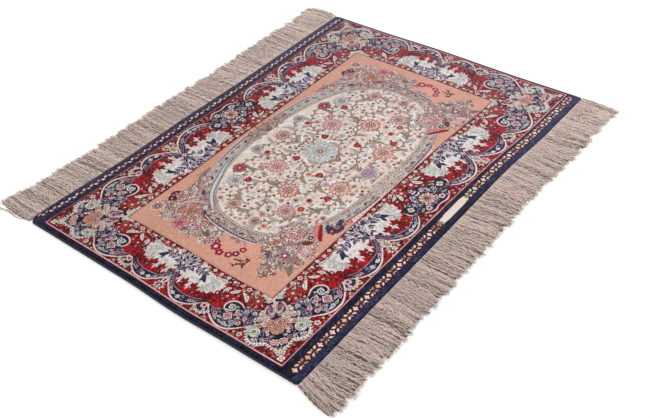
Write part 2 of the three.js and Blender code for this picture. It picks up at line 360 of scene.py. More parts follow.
def scatter(c, ground, box, pitch, clear, seed, draw):
    """Sets small motifs on a jittered triangular grid, each only where the knots are still in one
    of the ground's yarns. draw(p, q, pick, turn) lays one, pick being a whole number by chance."""
    chance = np.random.default_rng(seed)
    ground = [YARN[name] for name in ground.split()]
    low_p, high_p, low_q, high_q = box
    for row, q in enumerate(np.arange(low_q, high_q, pitch * 0.87)):
        for p in np.arange(low_p + (row % 2) * pitch / 2, high_p, pitch):
            at = (p, q) + chance.uniform(-0.22, 0.22, 2) * pitch
            pick, turn = int(chance.integers(0, 12)), float(chance.uniform(0, 360))
            knots = c.near(*at, clear)
            if len(knots) and np.isin(c.yarn[knots], ground).mean() > 0.9:
                draw(*at, pick, turn)


def mixture(c, *kinds):
    """What scatter draws: one of several motifs by the pick. A kind is (motif, yarns, sizes, rest),
    and each of its yarns stands for one pick."""
    choices = [(motif, name, *values) for motif, names, *values in kinds for name in names.split()]

    def draw(p, q, pick, turn):
        if pick < len(choices):
            motif, name, sizes, rest = choices[pick]
            motif(c, p, q, *(() if motif is bloom else (turn,)), *sizes, name, *rest)

    return draw


def mottle(p, q, size):
    """A steady field of blotches between -1 and 1: two warped sines multiplied."""
    return (np.sin(p / size + 2.0 * np.sin(q / size * 0.62 + 0.7))
            * np.sin(q / size * 1.13 + 1.7 * np.sin(p / size * 0.71)))


def speckle(number):
    """A steady share between 0 and 1 for any number: the fraction of a steep sine."""
    return np.abs(np.sin(number) * 43758.5) % 1


def cover_navy(yarn, knots, x, y):
    """Navy ground with patches of a darker and a bluer navy."""
    shade = mottle(x, y, 2.9) + 0.5 * mottle(x, y + 30, 7.0)
    yarn[knots & (shade > 0.5)] = YARN["ink"]
    yarn[knots & (shade < -0.55)] = YARN["indigo"]


def cover_band_with_sheen(yarn, knots, x, y, pale):
    """A band's navy with painted sheen where it catches the light: blotches of bluer and paler
    yarns, partly the yarn's own and in their amount painted sheen, the more the larger pale is."""
    along = 0.45 * x - 0.9 * y
    shade = 0.7 * mottle(along, x + y, 3.1) + 0.6 * mottle(x, y, 1.7)
    yarn[knots & (np.abs(shade) < pale)] = YARN["indigo"]
    yarn[knots & (shade > 0.95 - pale)] = YARN["steel"]
    yarn[knots & (shade < pale - 1.35)] = YARN["plum"]


# The border. P runs along it from the outer pink line at a corner and Q across it, from that line
# to the field, both in mm as at the front near corner. A selvedge side ends at 301, a fringed side
# at MIDDLE. The corner is symmetric about its diagonal.

MIDDLE = 442
DEPTH = 100.5
CROSSING = 303.0               # P where two ribbons cross under the cloud
SEED_PITCH = 4.6


def red_ground(c):
    """The red ground, blotched with maroon and sown with small seeds."""
    shade = mottle(c.p, c.q, 3.1) + 0.45 * mottle(c.p + 40, c.q, 9.0)
    c.dye(slice(None), "red")
    c.dye(shade > 0.45, "crimson")
    c.dye(shade < -0.24, "maroon")
    row = np.floor(c.q / SEED_PITCH)
    across = c.p / SEED_PITCH + 0.5 * (row % 2)
    column = np.floor(across)
    pick = speckle(column * 12.99 + row * 78.23)
    dot = np.hypot(across - column - 0.5, (c.q / SEED_PITCH - row - 0.5) * 1.4) < 0.27
    c.dye(dot & (pick < 0.36), "umber")
    c.dye(dot & (pick > 0.84), "coral")
    c.dye(dot & (pick > 0.95), "dust")


# Outline of half the pale cloud that opens round each peak, from the field down to the peak
CLOUD = ((303, 101), (268, 101), (259, 95), (246, 89), (233, 87), (222, 84), (212, 87), (202, 90),
         (196, 84), (200, 77), (193, 71), (199, 65), (200, 59), (206, 52), (214, 46), (222, 44),
         (229, 44), (235, 47), (240, 51), (244, 44), (249, 34), (254, 41), (261, 45), (266, 52),
         (270, 44), (276, 35.5), (281, 41), (287, 46), (291, 53), (297, 56))
# Pale points that hang out of it, place, turn and length, and red flames that lick into it, with
# their width too
POINTS = ((249, 43, 268, 11), (245, 46, 246, 8), (253, 45, 292, 8), (276, 44, 268, 10), (272, 47, 244, 8),
          (281, 46, 296, 8), (229, 49, 262, 7), (221, 49, 250, 6), (213, 51, 236, 6), (205, 58, 214, 6),
          (201, 66, 196, 5), (200, 75, 176, 6), (203, 84, 158, 6))
FLAMES = ((239, 40, 92, 15, 8.0), (243, 42, 64, 9, 5.0), (234, 41, 118, 9, 5.0), (265, 40, 94, 14, 7.5),
          (270, 41, 66, 9, 4.6), (260, 41, 122, 9, 4.6), (287, 42, 104, 10, 5.0), (217, 40, 116, 7, 4.4),
          (208, 46, 140, 7, 4.4))
# Ferns in its ends, place, turn and length, and thin scrolls, place, turn and size
FERNS = ((223, 85, 184, 17), (222, 77, 194, 18), (222, 69, 202, 17), (224, 61, 210, 15), (228, 54, 218, 13))
SCROLLS = ((212, 79, 20, 5.4), (206, 69, 200, 4.6), (217, 64, 70, 5.2), (223, 76, 330, 4.4),
           (202, 84, 120, 3.6), (214, 54, 10, 3.6))


def across(p):
    """P on the other side of the crossing, where the cloud is shorter."""
    return CROSSING + (CROSSING - p) * 0.83


def over(rows):
    """Rows of (p, q, turn, ...) as they are across the crossing."""
    return [(across(p), q, 180 - turn, *rest) for p, q, turn, *rest in rows]


def cloud(c):
    outline = list(CLOUD) + [(across(p), q) for p, q in CLOUD[:0:-1]]
    c.shape(outline, [(-0.9, "maroon"), (0, "pink"), (0.9, "mint")], straight=True)
    each(c, blade, (*POINTS, *over(POINTS)), 4.6, "mint", "pink")
    each(c, blade, (*FLAMES, *over(FLAMES)), "red", "maroon")
    shade = mottle(c.p, c.q, 3.4)
    c.dye((c.yarn == YARN["mint"]) & (shade > 0.1), "pearl")
    c.dye((c.yarn == YARN["mint"]) & (shade < -0.62), "blush")
    for hand, ferns, scrolls in ((1, FERNS, SCROLLS), (-1, over(FERNS), over(SCROLLS))):
        each(c, feather, ferns, 6.5, "mint", "taupe", hand)
        each(c, curl, scrolls, 1.3, "sage", "pearl", hand)
    # a red drop hangs from the field line on each side
    for p in (280, 325):
        c.shape([(p - 6.5, 101), (p - 6, 94), (p, 89.5), (p + 6, 94), (p + 6.5, 101)],
                [(-1.0, "pink"), (0, "red")])


# Blades on the arms of the navy spray: place, turn, length, width, fill, outline and bend
ARM_BLADES = (
    (246, 77, 222, 21, 8.0, "navy", "steel", 1.5), (240, 72, 282, 13, 5.0, "navy", "steel", -1.0),
    (250, 80, 178, 14, 5.0, "navy", "mauve", 1.0), (262, 81, 128, 12, 5.6, "navy", "mauve", 0.8),
    (268, 80, 232, 12, 5.4, "steel", "navy", 0.8), (256, 79, 250, 11, 4.6, "plum", "mauve", 0.6),
    (276, 82, 108, 13, 6.0, "navy", "mauve", 0.6), (281, 76, 214, 12, 5.4, "navy", "mauve", 0.8),
    (248, 84, 152, 12, 4.2, "olive", "navy", 0.6), (292, 64, 206, 10, 4.6, "navy", "mauve", 0.6),
)


def spray(c):
    """The navy spray that rises from the peak into the cloud: lilac leaves laid herringbone over
    its middle, and blades to each side that end in a hooked one."""
    stem = [(-0.8, "mauve"), (0, "navy")]
    c.path(((303, 56, 3), (294, 66, 3.4), (283, 78, 3.6), (270, 82, 3.8), (256, 80, 3.4), (244, 74, 3.0),
            (235, 66, 2.4)), stem)
    c.path([(CROSSING, 54, 3), (CROSSING, 76, 3.4), (CROSSING, 98, 2.6)], stem)
    each(c, blade, (*ARM_BLADES, *over(ARM_BLADES)))
    for row in range(5):
        for step in (-3, -2, -1, 1, 2, 3):
            if abs(step) <= 1 + row * 0.7:
                side = np.sign(step)
                fill = ("lilac", "mint", "navy", "lilac", "plum")[(row * 2 + step) % 5]
                blade(c, CROSSING + step * 6.4 - side * 3.2, 62 + row * 7.5, 90 - side * 42, 8.2, 3.8, fill,
                      "navy", 0.4)
    for p, q, *flower in ((262, 79, 5.0, "lilac", "brown"), (250, 78, 3.8, "mauve", "plum"),
                          (274, 84, 4.4, "lilac", "navy"), (283, 71, 3.6, "mauve", "plum"),
                          (CROSSING, 70, 4.0, "steel", "mauve"), (CROSSING, 88, 5.0, "lilac", "maroon")):
        for at in (p, 2 * CROSSING - p):
            bloom(c, at, q, *flower, "navy", 4)
    dark = mixture(c, (blade, "navy steel plum slate navy", (6.0, 2.8), ("lilac", 0.5)),
                   (bloom, "mauve pink lilac", (2.4,), ("plum", "steel", 5)))
    pale = mixture(c, *((blade, fill, (5.5, 2.4), (line, 0.5)) for fill, line in zip(
        ("cream", "pearl") * 3, ("slate", "sage", "dust") * 2)))
    scatter(c, "mint pearl blush", (252, 356, 72, 98), 7.4, 2.4, 3, dark)
    scatter(c, "mint pearl blush", (194, 396, 44, 92), 7.6, 2.6, 4, pale)
    # the ribbons cross at the peak, with a small ring flower over them
    for side in (-1, 1):
        blade(c, CROSSING + side * 6, 44, 90 - side * 60, 13, 6.0, "navy", "steel", 0.5)
    for side, tiers in ((-1, stem), (1, stem), (-1, [(0.2, "navy")])):
        c.path([(CROSSING + side * p, q, width) for p, q, width in (
            (14, 65, 2.6), (8, 61, 3.0), (0, 54, 3.2), (-10, 45, 3.2), (-18, 35, 2.8))], tiers)
    bloom(c, CROSSING, 54, 5.4, "lilac", "pink", "navy", 4, 0)


# Parts of the border's navy ground, closed outlines
NAVY_PARTS = (
    # the corner, to its diagonal and past it
    ((20, 20), (28, 21), (35, 16), (42, 18), (49, 21), (55, 14), (62, 8), (68, 6), (76, 8), (84, 14),
     (89, 20), (98, 28), (106, 50), (106, 72), (98, 84), (96, 96), (84, 98), (30, 50), (16, 28)),
    # the long scallop beside the corner, with its snail
    ((86, 38), (97, 29), (108, 20), (118, 11.5), (130, 5.5), (147, 3.5), (160, 7), (174, 15), (184, 24),
     (190, 32), (180, 31), (170, 33), (164, 36), (167.5, 46), (164, 56), (157, 61), (148, 61.5),
     (135, 57), (126, 58), (119, 66), (112, 62), (104, 70), (98, 84)),
    # the small lobe
    ((176, 24), (179, 18), (185, 14), (193, 9.7), (201, 15), (208, 20), (210, 27), (203, 32), (190, 35),
     (180, 32)),
    # the two ribbons that rise to the peak
    ((203, 25), (210, 17), (221, 9), (236, 4), (253, 4.5), (266, 9), (276, 15.5), (288, 24), (299, 35),
     (303, 46), (299, 46), (288, 34), (276, 27), (262, 24.5), (248, 23), (236, 23), (219, 26), (207, 32)),
    ((303, 46), (309, 35), (316, 24), (324, 15.6), (340, 6.5), (356, 4.5), (371, 7), (385, 14.6),
     (394, 23), (390, 31), (383, 27), (371, 22), (358.6, 19), (345, 21), (334, 26), (324, 33), (315, 41),
     (308, 48)),
    # the shield at the middle of a fringed side
    ((388, 25), (398, 21), (407, 17), (416, 10), (426, 7), (436, 9), (448, 11), (458, 30), (455, 60),
     (442, 81), (437, 73), (429, 65), (420, 58), (412, 54), (402, 57), (392, 54), (386, 46), (386, 36),
     (390, 30)),
)
# The pale outlines along it: the part, the first and last of its points, and the width. The thin
# ones are the inner lines of the ribbons and the edge towards the red ground.
PART_OUTLINES = ((1, 1, 9, 3.6), (3, 0, 9, 3.6), (4, 0, 8, 3.6), (5, 16, 21, 2.8), (5, 2, 6, 2.8),
                 (3, 10, 17, 1.3), (4, 9, 17, 1.3), (1, 9, 12, 1.3), (1, 17, 22, 1.4))
# The snail beside it, rows of (p, q, width)
SNAIL = ((134, 57, 2.0), (141, 60, 2.6), (149, 62, 3.0), (158, 60.5, 3.2), (165, 54, 3.0),
         (166.5, 45, 2.8), (162, 38, 2.4), (154, 35, 2.0), (146.5, 38, 1.8))


def navy_ground(c):
    """The navy ground with its dark edge, and the pale outlines, which swell in their middle."""
    depth = np.full(c.p.size, -9.0)
    for part in NAVY_PARTS:
        curve = smooth(part, closed=True, steps=5)
        knots = c.around(curve, 1)
        depth[knots] = np.maximum(depth[knots], inside_curve(c.p[knots], c.q[knots], curve))
    c.lay(np.arange(c.p.size), depth, [(0, "ink"), (2.1, "steel"), (2.8, "navy")])
    cover_navy(c.yarn, depth > 2.8, c.p, c.q)
    pale = [(-0.6, "maroon"), (0, "pink"), (0.6, "cream")]
    for part, first, last, width in PART_OUTLINES:
        points = NAVY_PARTS[part][first:last + 1]
        swell = width * np.sin(np.pi * (np.arange(len(points)) + 0.7) / (len(points) + 0.4)) ** 0.4
        c.path(np.column_stack([points, swell]), pale if width > 2 else [(0, "mauve")])
    c.path(SNAIL, pale)
    # the small lobe is edged by petals
    rays(c, 194, 24, range(204, 337, 22), 8.0, 5.8, ("cream", "blush"), "maroon", reach=12.5, tall=0.96)


# Flowers on the navy ground: place, size, petals, heart, outline and number of petals
NAVY_BLOOMS = (
    (103, 36, 7.0, "plum", "maroon", "mauve", 4), (117, 26, 4.6, "blush", "rose", "plum", 5),
    (140, 13, 3.8, "sky", "steel", "slate", 5), (168, 22, 4.4, "pink", "maroon", "plum", 5),
    (194, 25, 6.0, "pink", "maroon", "blush", 5), (119, 47, 4.2, "mauve", "maroon", "plum", 5),
    (423, 19, 5.0, "pink", "maroon", "cream", 5), (400, 41, 6.4, "blush", "teal", "plum", 4),
    (431, 56, 3.8, "mauve", "cream", "steel", 5), (245, 13, 4.4, "pearl", "mauve", "steel", 4),
    (356, 12, 4.4, "pearl", "rose", "steel", 4), (222, 18, 3.4, "pink", "maroon", "steel", 5),
    (276, 21, 3.4, "lilac", "rose", "steel", 5), (333, 18, 3.6, "pink", "maroon", "steel", 5),
    (376, 15, 3.4, "lilac", "maroon", "steel", 5), (39, 29, 6.0, "pink", "maroon", "cream", 4),
)
# Leaves there: place, turn, length, width, bend, fill and rim
NAVY_LEAVES = (
    (131, 37, 42, 17, 8.5, 1, "pink", "cream"), (110, 33, 46, 17, 8.5, 1, "pink", "mauve"),
    (126, 47, 10, 13, 6.5, -1.5, "teal", "mint"), (116, 52, 70, 13, 6.5, 1, "navy", "mauve"),
    (122, 20, 14, 15, 5.5, -2, "navy", "mint"), (131, 27, 196, 14, 6.5, 1.5, "plum", "mauve"),
    (128, 28, 250, 13, 6, -1.5, "navy", "cream"), (152, 22, 30, 13, 5.6, 1, "navy", "mauve"),
    (152, 20, 350, 12, 5, 1, "lilac"), (140, 12, 172, 12, 4.6, 1, "mint"),
    (143, 12, 12, 13, 4.6, -1, "sage", "mint"),
    (158, 12, 28, 13, 4.6, 1, "navy", "pearl"), (162, 29, 10, 14, 6, -1, "teal", "mauve"),
    (174, 22, 50, 10, 5, 1, "navy", "pink"), (98, 46, 80, 15, 6.5, 1.5, "navy", "mauve"),
    (100, 62, 96, 14, 6, 1, "plum", "mauve"), (92, 42, 40, 12, 5.6, 1, "mint"),
    (106, 50, 60, 12, 5.6, 1, "teal", "slate"),
    (147, 40, 70, 10, 5, 1, "teal"), (158, 42, 96, 12, 5, 1, "teal"), (152, 52, 350, 9, 3.6, 1, "pearl"),
    (150, 44, 34, 9, 3.4, 0.5, "pearl"), (256, 14, 4, 13, 6.5, 0, "pearl"),
    (240, 13, 176, 12, 5.5, 0.5, "lilac"),
    (212, 22, 326, 12, 5, 1, "navy", "pearl"), (229, 13, 352, 12, 5, 1, "navy", "mauve"),
    (268, 15, 30, 12, 5, 1, "navy", "mint"), (283, 24, 42, 12, 4.6, 1, "navy", "lilac"),
    (325, 26, 318, 12, 4.6, 1, "navy", "mint"), (341, 13, 346, 12, 4.8, 1, "navy", "lilac"),
    (362, 12, 10, 12, 5, 1, "pearl"), (380, 18, 34, 11, 4.6, 1, "navy", "mint"),
    (392, 41, 150, 7, 4, 1, "teal"),
    (406, 47, 50, 10, 5, 1, "navy", "mint"), (416, 26, 200, 11, 5, 1, "navy", "mint"),
    (432, 17, 30, 10, 5, 1, "navy", "mauve"), (412, 39, 340, 12, 6, 1, "navy", "pearl"),
    (425, 53, 60, 11, 5, 1, "slate", "pearl"), (437, 22, 160, 10, 4.6, 1, "sky"),
    (62, 27, 36, 14, 6.5, 1, "navy", "mauve"), (30, 24, 350, 9, 4.6, 1, "teal"),
    (50, 29, 306, 12, 5, 1, "navy", "lilac"),
    (47, 24, 40, 10, 4.6, 1, "plum", "pink"), (93, 52, 74, 12, 5.5, 1, "lilac"),
)
# Stalks that wind along the middle of the scallops and ribbons
NAVY_STALKS = (
    ((92, 44), (104, 47), (116, 36), (130, 27), (144, 20), (160, 18), (174, 24)),
    ((106, 62), (116, 53), (128, 46), (139, 50)), ((209, 26), (224, 15), (240, 12), (256, 13), (272, 18)),
    ((272, 18), (286, 28), (297, 40)), ((310, 42), (320, 27), (334, 17), (350, 11), (368, 14), (386, 22)),
    ((394, 24), (404, 30), (416, 32), (426, 44), (434, 58), (440, 72)), ((24, 24), (38, 24), (52, 26),
     (66, 22)),
)


def navy_flowers(c):
    for stalk in NAVY_STALKS:
        twig(c, stalk, "mauve", 1.2, 4.5, "slate", 9.0, "ink")
    for p, q, turn, length, width, bend, fill, *rim in NAVY_LEAVES:
        blade(c, p, q, turn, length, width, fill, "ink", bend, *rim)
    each(c, curl, ((128, 22, 40, 5.6), (165, 17, 190, 4.0), (414, 45, 30, 4.0), (57, 20, 190, 4.2)),
         1.7, "lilac", "ink", 1)
    each(c, curl, ((123, 53, 200, 4.6), (108, 57, 20, 4.4)), 1.7, "mint", "ink", -1)
    each(c, bloom, NAVY_BLOOMS)
    # the diamond flower
    c.shape([(136, 29), (146, 39), (156, 29), (146, 19)], [(-0.9, "ink"), (0, "cream"), (1.6, "rose")],
            straight=True)
    rays(c, 146, 29, (0, 90, 180, 270), 6.5, 4.6, ("pink",), "maroon")
    # the snail's inner turns
    curl(c, 154, 47, 120, 8.0, 2.2, "pearl", "teal", -1)
    # the pale cone under the crossing, and the cross flower between the scallops
    for step in (-1, 1, 0):
        blade(c, CROSSING + step * 2.5, 14 + abs(step) * 3, 90 - step * 16, 26 - abs(step) * 8, 7.0, "pearl",
              "maroon")
    blade(c, CROSSING, 20, 90, 12, 4.0, "olive", "maroon")
    for side in (-1, 1):
        for p, q, turn, fill in ((5, 15, 20, "pink"), (8, 11, 4, "cream"), (4, 22, 44, "blush")):
            blade(c, CROSSING + side * p, q, 90 - side * (90 - turn), 9.5, 4.4, fill, "brown", side)
    bloom(c, CROSSING, 9.5, 5.2, "cream", "olive", "maroon", 4, 45)
    for side in (-1, 1):
        blade(c, CROSSING + side * 7, 8, 90 - side * 62, 9, 3.4, "mint", "maroon", 0.5)
        blade(c, CROSSING + side * 7, 9, 90 - side * 120, 7, 3.0, "cream", "maroon", 0.5)
    scatter(c, "navy ink indigo", (20, MIDDLE, 6, 96), 6.8, 1.9, 5, mixture(
        c, (bloom, "pink lilac", (2.5,), ("rose", "plum", 5)),
        (blade, "slate mint mauve teal pink lilac plum", (6.4, 2.8), ("ink", 0.7)),
        *((curl, name, (3.0, 1.3), ("ink", hand)) for name, hand in (
            ("mauve", 1), ("pearl", -1), ("lilac", 1)))))


def shield_flower(c):
    """The peach flower in the shield, on the axis of a fringed side."""
    rays(c, MIDDLE, 36, range(150, 391, 30), 15.5, 8.0, ("blush", "pink"), "brown")
    rays(c, MIDDLE, 38, range(12, 169, 26), 13.5, 6.0, ("cream", "peach"), "brown")
    rays(c, MIDDLE, 37, range(20, 336, 45), 7.5, 4.8, ("apricot", "peach"), "brown")
    bloom(c, MIDDLE, 37, 3.2, "umber", "gold", "brown", 4)
    for q, size in ((54, 7), (62, 6), (69, 5)):
        rays(c, MIDDLE, q, (35, 145), size, size * 0.45, ("pearl",), "steel", 0.5)


def palmette(c):
    """The palmette on the corner's diagonal: rings of small petals laid from the outside in,
    peach towards the corner and pale towards the field."""
    p, q = 69.0, 69.0
    body = [(44, 44), (50, 41), (58, 41), (70, 43), (80, 48), (87, 55), (90, 63), (96, 69), (102, 76),
            (100, 84), (96, 90), (94, 94)]
    body += [(v, u) for u, v in body[::-1]]
    c.shape(body, [(-5.0, "navy"), (-1.2, "ink"), (0, "brown"), (1.0, "blush")])
    warm, pale = ("peach", "blush", "apricot", "peach", "dust"), ("cream", "blush", "pink", "sand", "cream")
    rings = ((24, 24, 9.5, 5.6), (18.5, 20, 9.5, 5.4), (13, 15, 9, 5.0), (8, 11, 8, 4.4))
    for ring, (radius, count, length, width) in enumerate(rings):
        for step in range(count):
            turn = 360 * (step + 0.5 * (ring % 2)) / count
            away = np.abs((turn - 225 + 180) % 360 - 180)
            fill = (warm if away < 78 - ring * 6 else pale)[(step * 3 + ring) % 5]
            if ring or away <= 150:
                at = np.radians(turn)
                blade(c, p + radius * np.cos(at), q + radius * np.sin(at), turn + (12 if step % 2 else -12),
                      length, width, fill, "brown" if away < 90 else "taupe")
    rays(c, p, q, 45 + np.arange(7) * 360 / 7, 10.5, 5.6, ("mauve", "pink", "lilac"), "plum")
    each(c, blade, ((67, 67, 45, 11, 5.0), (68, 70, 135, 6, 3.6), (70, 68, 315, 6, 3.6)), "umber", "ink")
    # plum wings at its far end, parted by a pale stalk
    c.path([(96, 84, 5), (92, 80, 8), (87, 77, 6), (84, 76, 4)],
           [(-0.9, "mauve"), (0, "plum"), (2.2, "maroon")])
    c.path([(94, 73, 3), (90, 69, 4.4), (85, 68, 3)], [(-0.8, "pink"), (0, "plum")])
    blade(c, 88, 78, 350, 12, 5.0, "maroon", "pink", 1)
    c.path([(78, 78, 1.6), (88, 88, 2.6), (98, 98, 3.4)], [(-0.7, "plum"), (0, "blush")])
    c.path([(101, 82, 1.6), (98, 75, 2.0), (93, 67, 2.0), (89, 60, 1.6)], [(-0.6, "plum"), (0, "blush")])


def corner(c):
    """The corner: acanthus leaves edge its lobes and curl beside the palmette."""
    # the chain of leaves from the corner flower to the scroll, and the scroll's own turns
    acanthus(c, ((16, 14), (24, 20), (33, 18), (41, 19), (49, 20)), 7.0, 5.6, 1.8, "blush", "cream")
    acanthus(c, ((49, 21), (55, 15), (62, 9), (70, 7), (79, 10), (86, 17), (90, 25)), 7.5, 5.2, 2.0,
             "cream", "mint")
    c.shape([(92, 33), (90, 24), (84, 18.5), (76, 17), (70, 20), (68, 28), (73, 35), (81, 37), (88, 37)],
            [(-1, "ink"), (0, "cream"), (1.4, "mint")])
    curl(c, 79, 27, 20, 8.2, 2.6, "pearl", "sage", 1)
    each(c, feather, ((70, 24, 60, 8), (84, 33, 340, 8), (85, 22, 250, 8)), 4.4, "cream", "sage", 0.6)
    bloom(c, 79, 27, 2.4, "olive", "brown", "brown", 4)
    each(c, blade, ((88, 30, 330, 12), (91, 34, 300, 11), (88, 24, 310, 10), (84, 36, 40, 9)),
         4.6, "mint", "sage", 1)
    palmette(c)
    # the open flower beside the corner, and the small flower in the very corner
    rays(c, 38, 33, (222, 270, 318), 11, 6.4, ("pink",), "maroon", 0, "blush")
    blade(c, 26, 15, 195, 12, 5.6, "blush", "maroon", -1)
    blade(c, 16, 16, 45, 11, 6, "cream", "sage")
    bloom(c, 10, 10, 6.2, "cream", "sage", "maroon", 4, 45)


# Lone flowers on the red ground: place, size, petals and heart
RED_BLOOMS = (
    (97, 10, 5.4, "cream", "sage"), (428, 80, 4.0, "pink", "cream"), (110, 9, 3.0, "olive", "cream"),
    (176, 6, 3.2, "pink", "cream"), (205, 6, 3.0, "blush", "maroon"), (180, 53, 4.6, "brown", "gold"),
    (231, 34, 4.6, "brown", "gold"), (268, 33, 4.2, "umber", "gold"), (336, 38, 4.6, "brown", "gold"),
    (372, 32, 4.2, "brown", "gold"),
)


def red_details(c):
    """Flowers, sickle leaves and garlands on the red ground."""
    for *sickle, bend in ((141, 68, 34, 25, 8, 3.0), (167, 84, 312, 20, 6.5, -1.5),
                          (184, 80, 290, 17, 6, 1.5), (412, 66, 70, 22, 7, -2.5), (416, 86, 200, 16, 6, 1.5)):
        blade(c, *sickle, "mint", "maroon", bend, "cream")
    bloom(c, 124, 81, 7.6, "brown", "apricot", "coral", 8)
    for number, p in enumerate((141, 157, 172, *range(188, MIDDLE, 16))):
        petal = ("cream", "cream", "blush", "pink")[number % 4]
        heart = ("olive", "rose", "olive", "cream")[number % 4]
        bloom(c, p, 94.5 - 1.5 * (number % 2), 4.8 if p < 188 else 3.9, petal, heart, "maroon", 5)
    each(c, bloom, RED_BLOOMS, "maroon", 5)
    each(c, feather, ((131, 76, 20, 15), (118, 72, 200, 10), (128, 88, 60, 10)), 5.5, "coral", "umber", 1)
    draw = mixture(c, (bloom, "cream blush pink dust", (2.2,), ("maroon", "maroon", 5)),
                   (blade, "olive cream brown coral dust mint", (5.8, 2.4), ("umber", 0.5)),
                   (curl, "dust pink", (2.6, 1.1), ("maroon", 1)))
    for seed, low_p, low_q, high_q, pitch, clear in ((6, 110, 88, 99, 7.0, 1.6), (7, 100, 62, 86, 11.0, 2.4),
                                                     (8, 24, 4, 32, 12.0, 2.6)):
        scatter(c, "red crimson maroon umber coral dust", (low_p, MIDDLE, low_q, high_q), pitch, clear, seed,
                draw)
    # the garland round the corner of the field
    c.shape([(130, 99), (114, 92), (104, 86), (96, 84), (86, 84), (86, 96), (88, 104), (93, 114), (99, 130),
             (101, 130), (101, 101), (130, 101)], [(-0.9, "maroon"), (0, "blush"), (1.2, "cream")])
    each(c, blade, ((99, 93, 330), (108, 95, 345), (117, 97, 350), (103, 99, 20)),
         11, 4.4, "mint", "dust", 0.6)
    each(c, bloom, ((94, 90, 3.2), (106, 93, 2.8), (116, 97, 2.4)), "mint", "pink", "sage", 5)


def border(c):
    for draw in (red_ground, cloud, navy_ground, red_details, spray, navy_flowers, corner, shield_flower):
        draw(c)
    # a dark line closes the border against the field
    c.dye(c.q > DEPTH - 1.6, "maroon")
    c.dye(c.q > DEPTH - 0.7, "brown")


# Where the border lies on the rug, in plan mm
NEAR_LINE, FAR_LINE, BACK_LINE = -436.0, 442.0, 281.3
FRONT_LINE = ((-436, -272.0), (-200, -273.0), (0, -274.5), (100, -277.0), (180, -279.0), (300, -280.3),
              (442, -282.0))
FIELD = (-338.4, 338.8, -170.8, 171.5)
# Along each half side the drawing is stretched: places from the corner, and P there
STRETCH = {
    "front near": ((0, 442), (0, 442)),
    "front far": ((0, 193, 284, 337, 387, 436), (0, 193, 301, 355, 400, 442)),
    "back near": ((0, 200, 282, 386, 437), (0, 200, 301, 392, 442)),
    "back far": ((0, 200, 285, 382, 441), (0, 200, 301, 392, 442)),
    "near front": ((0, 81, 134, 178, 224.5, 272), (0, 82, 147, 192, 240, 301)),
    "near back": ((0, 85, 143, 192, 235, 281), (0, 82, 147, 192, 240, 301)),
    "far front": ((0, 61.5, 138, 185, 231, 271), (0, 75, 147, 192, 240, 301)),
    "far back": ((0, 65, 169, 201, 246, 291), (0, 69, 150, 192, 240, 301)),
}


def border_place(x, y):
    """P and Q of plan places. Q is the share of the way from the outer line to the field, and a
    place belongs to the side whose Q is less."""
    front = np.interp(x, *np.array(FRONT_LINE).T)
    in_front = y < np.where(x < 0, 0.0, -10.0)
    is_near = x < np.where(y < 0, 6.0, 1.0)
    from_side = np.where(is_near, x - NEAR_LINE, FAR_LINE - x)
    from_end = np.where(in_front, y - front, BACK_LINE - y)
    q_side = from_side / np.where(is_near, FIELD[0] - NEAR_LINE, FAR_LINE - FIELD[1]) * DEPTH
    q_end = from_end / np.where(in_front, FIELD[2] - front, BACK_LINE - FIELD[3]) * DEPTH
    p = np.zeros_like(x)
    for side, chosen in (("near", is_near), ("far", ~is_near)):
        for end, picked in (("front", in_front), ("back", ~in_front)):
            here = chosen & picked
            along_end = np.interp(from_side[here], *STRETCH[f"{end} {side}"])
            along_side = np.interp(from_end[here], *STRETCH[f"{side} {end}"])
            p[here] = np.where(q_end[here] <= q_side[here], along_end, along_side)
    return p, np.minimum(q_end, q_side)


def outer_lines(yarn, x, y, q):
    """The two dotted rows of the pink line outside the border."""
    run = np.where(np.abs(y) > np.abs(x) * 0.62, x, y)
    beat = (run / 2.7) % 1 < 0.5
    for low, first, second in ((-1.3, "rose", "pink"), (-0.3, "pink", "blush")):
        row = (q > low) & (q <= low + 1)
        yarn[row] = np.where(beat[row], YARN[first], YARN[second])
        row &= (y > 270) & (np.abs(x) < 425)
        yarn[row] = np.where(beat[row], YARN["brown"], YARN["dust" if low < -1 else "brown"])


GUARD_PITCH = 30.0
GUARD_HALF = 7.0
GUARD_PHASE = -11.7            # X of one of the crosses
GUARD_MIDDLE = -293.0
LOZENGE_PITCH = 8.3
# Middle of the back guard, rows of (x, y)
BACK_GUARD = ((-440, 307.5), (-420, 302.5), (-400, 300.0), (-370, 298.5), (-300, 297.3), (450, 296.6))


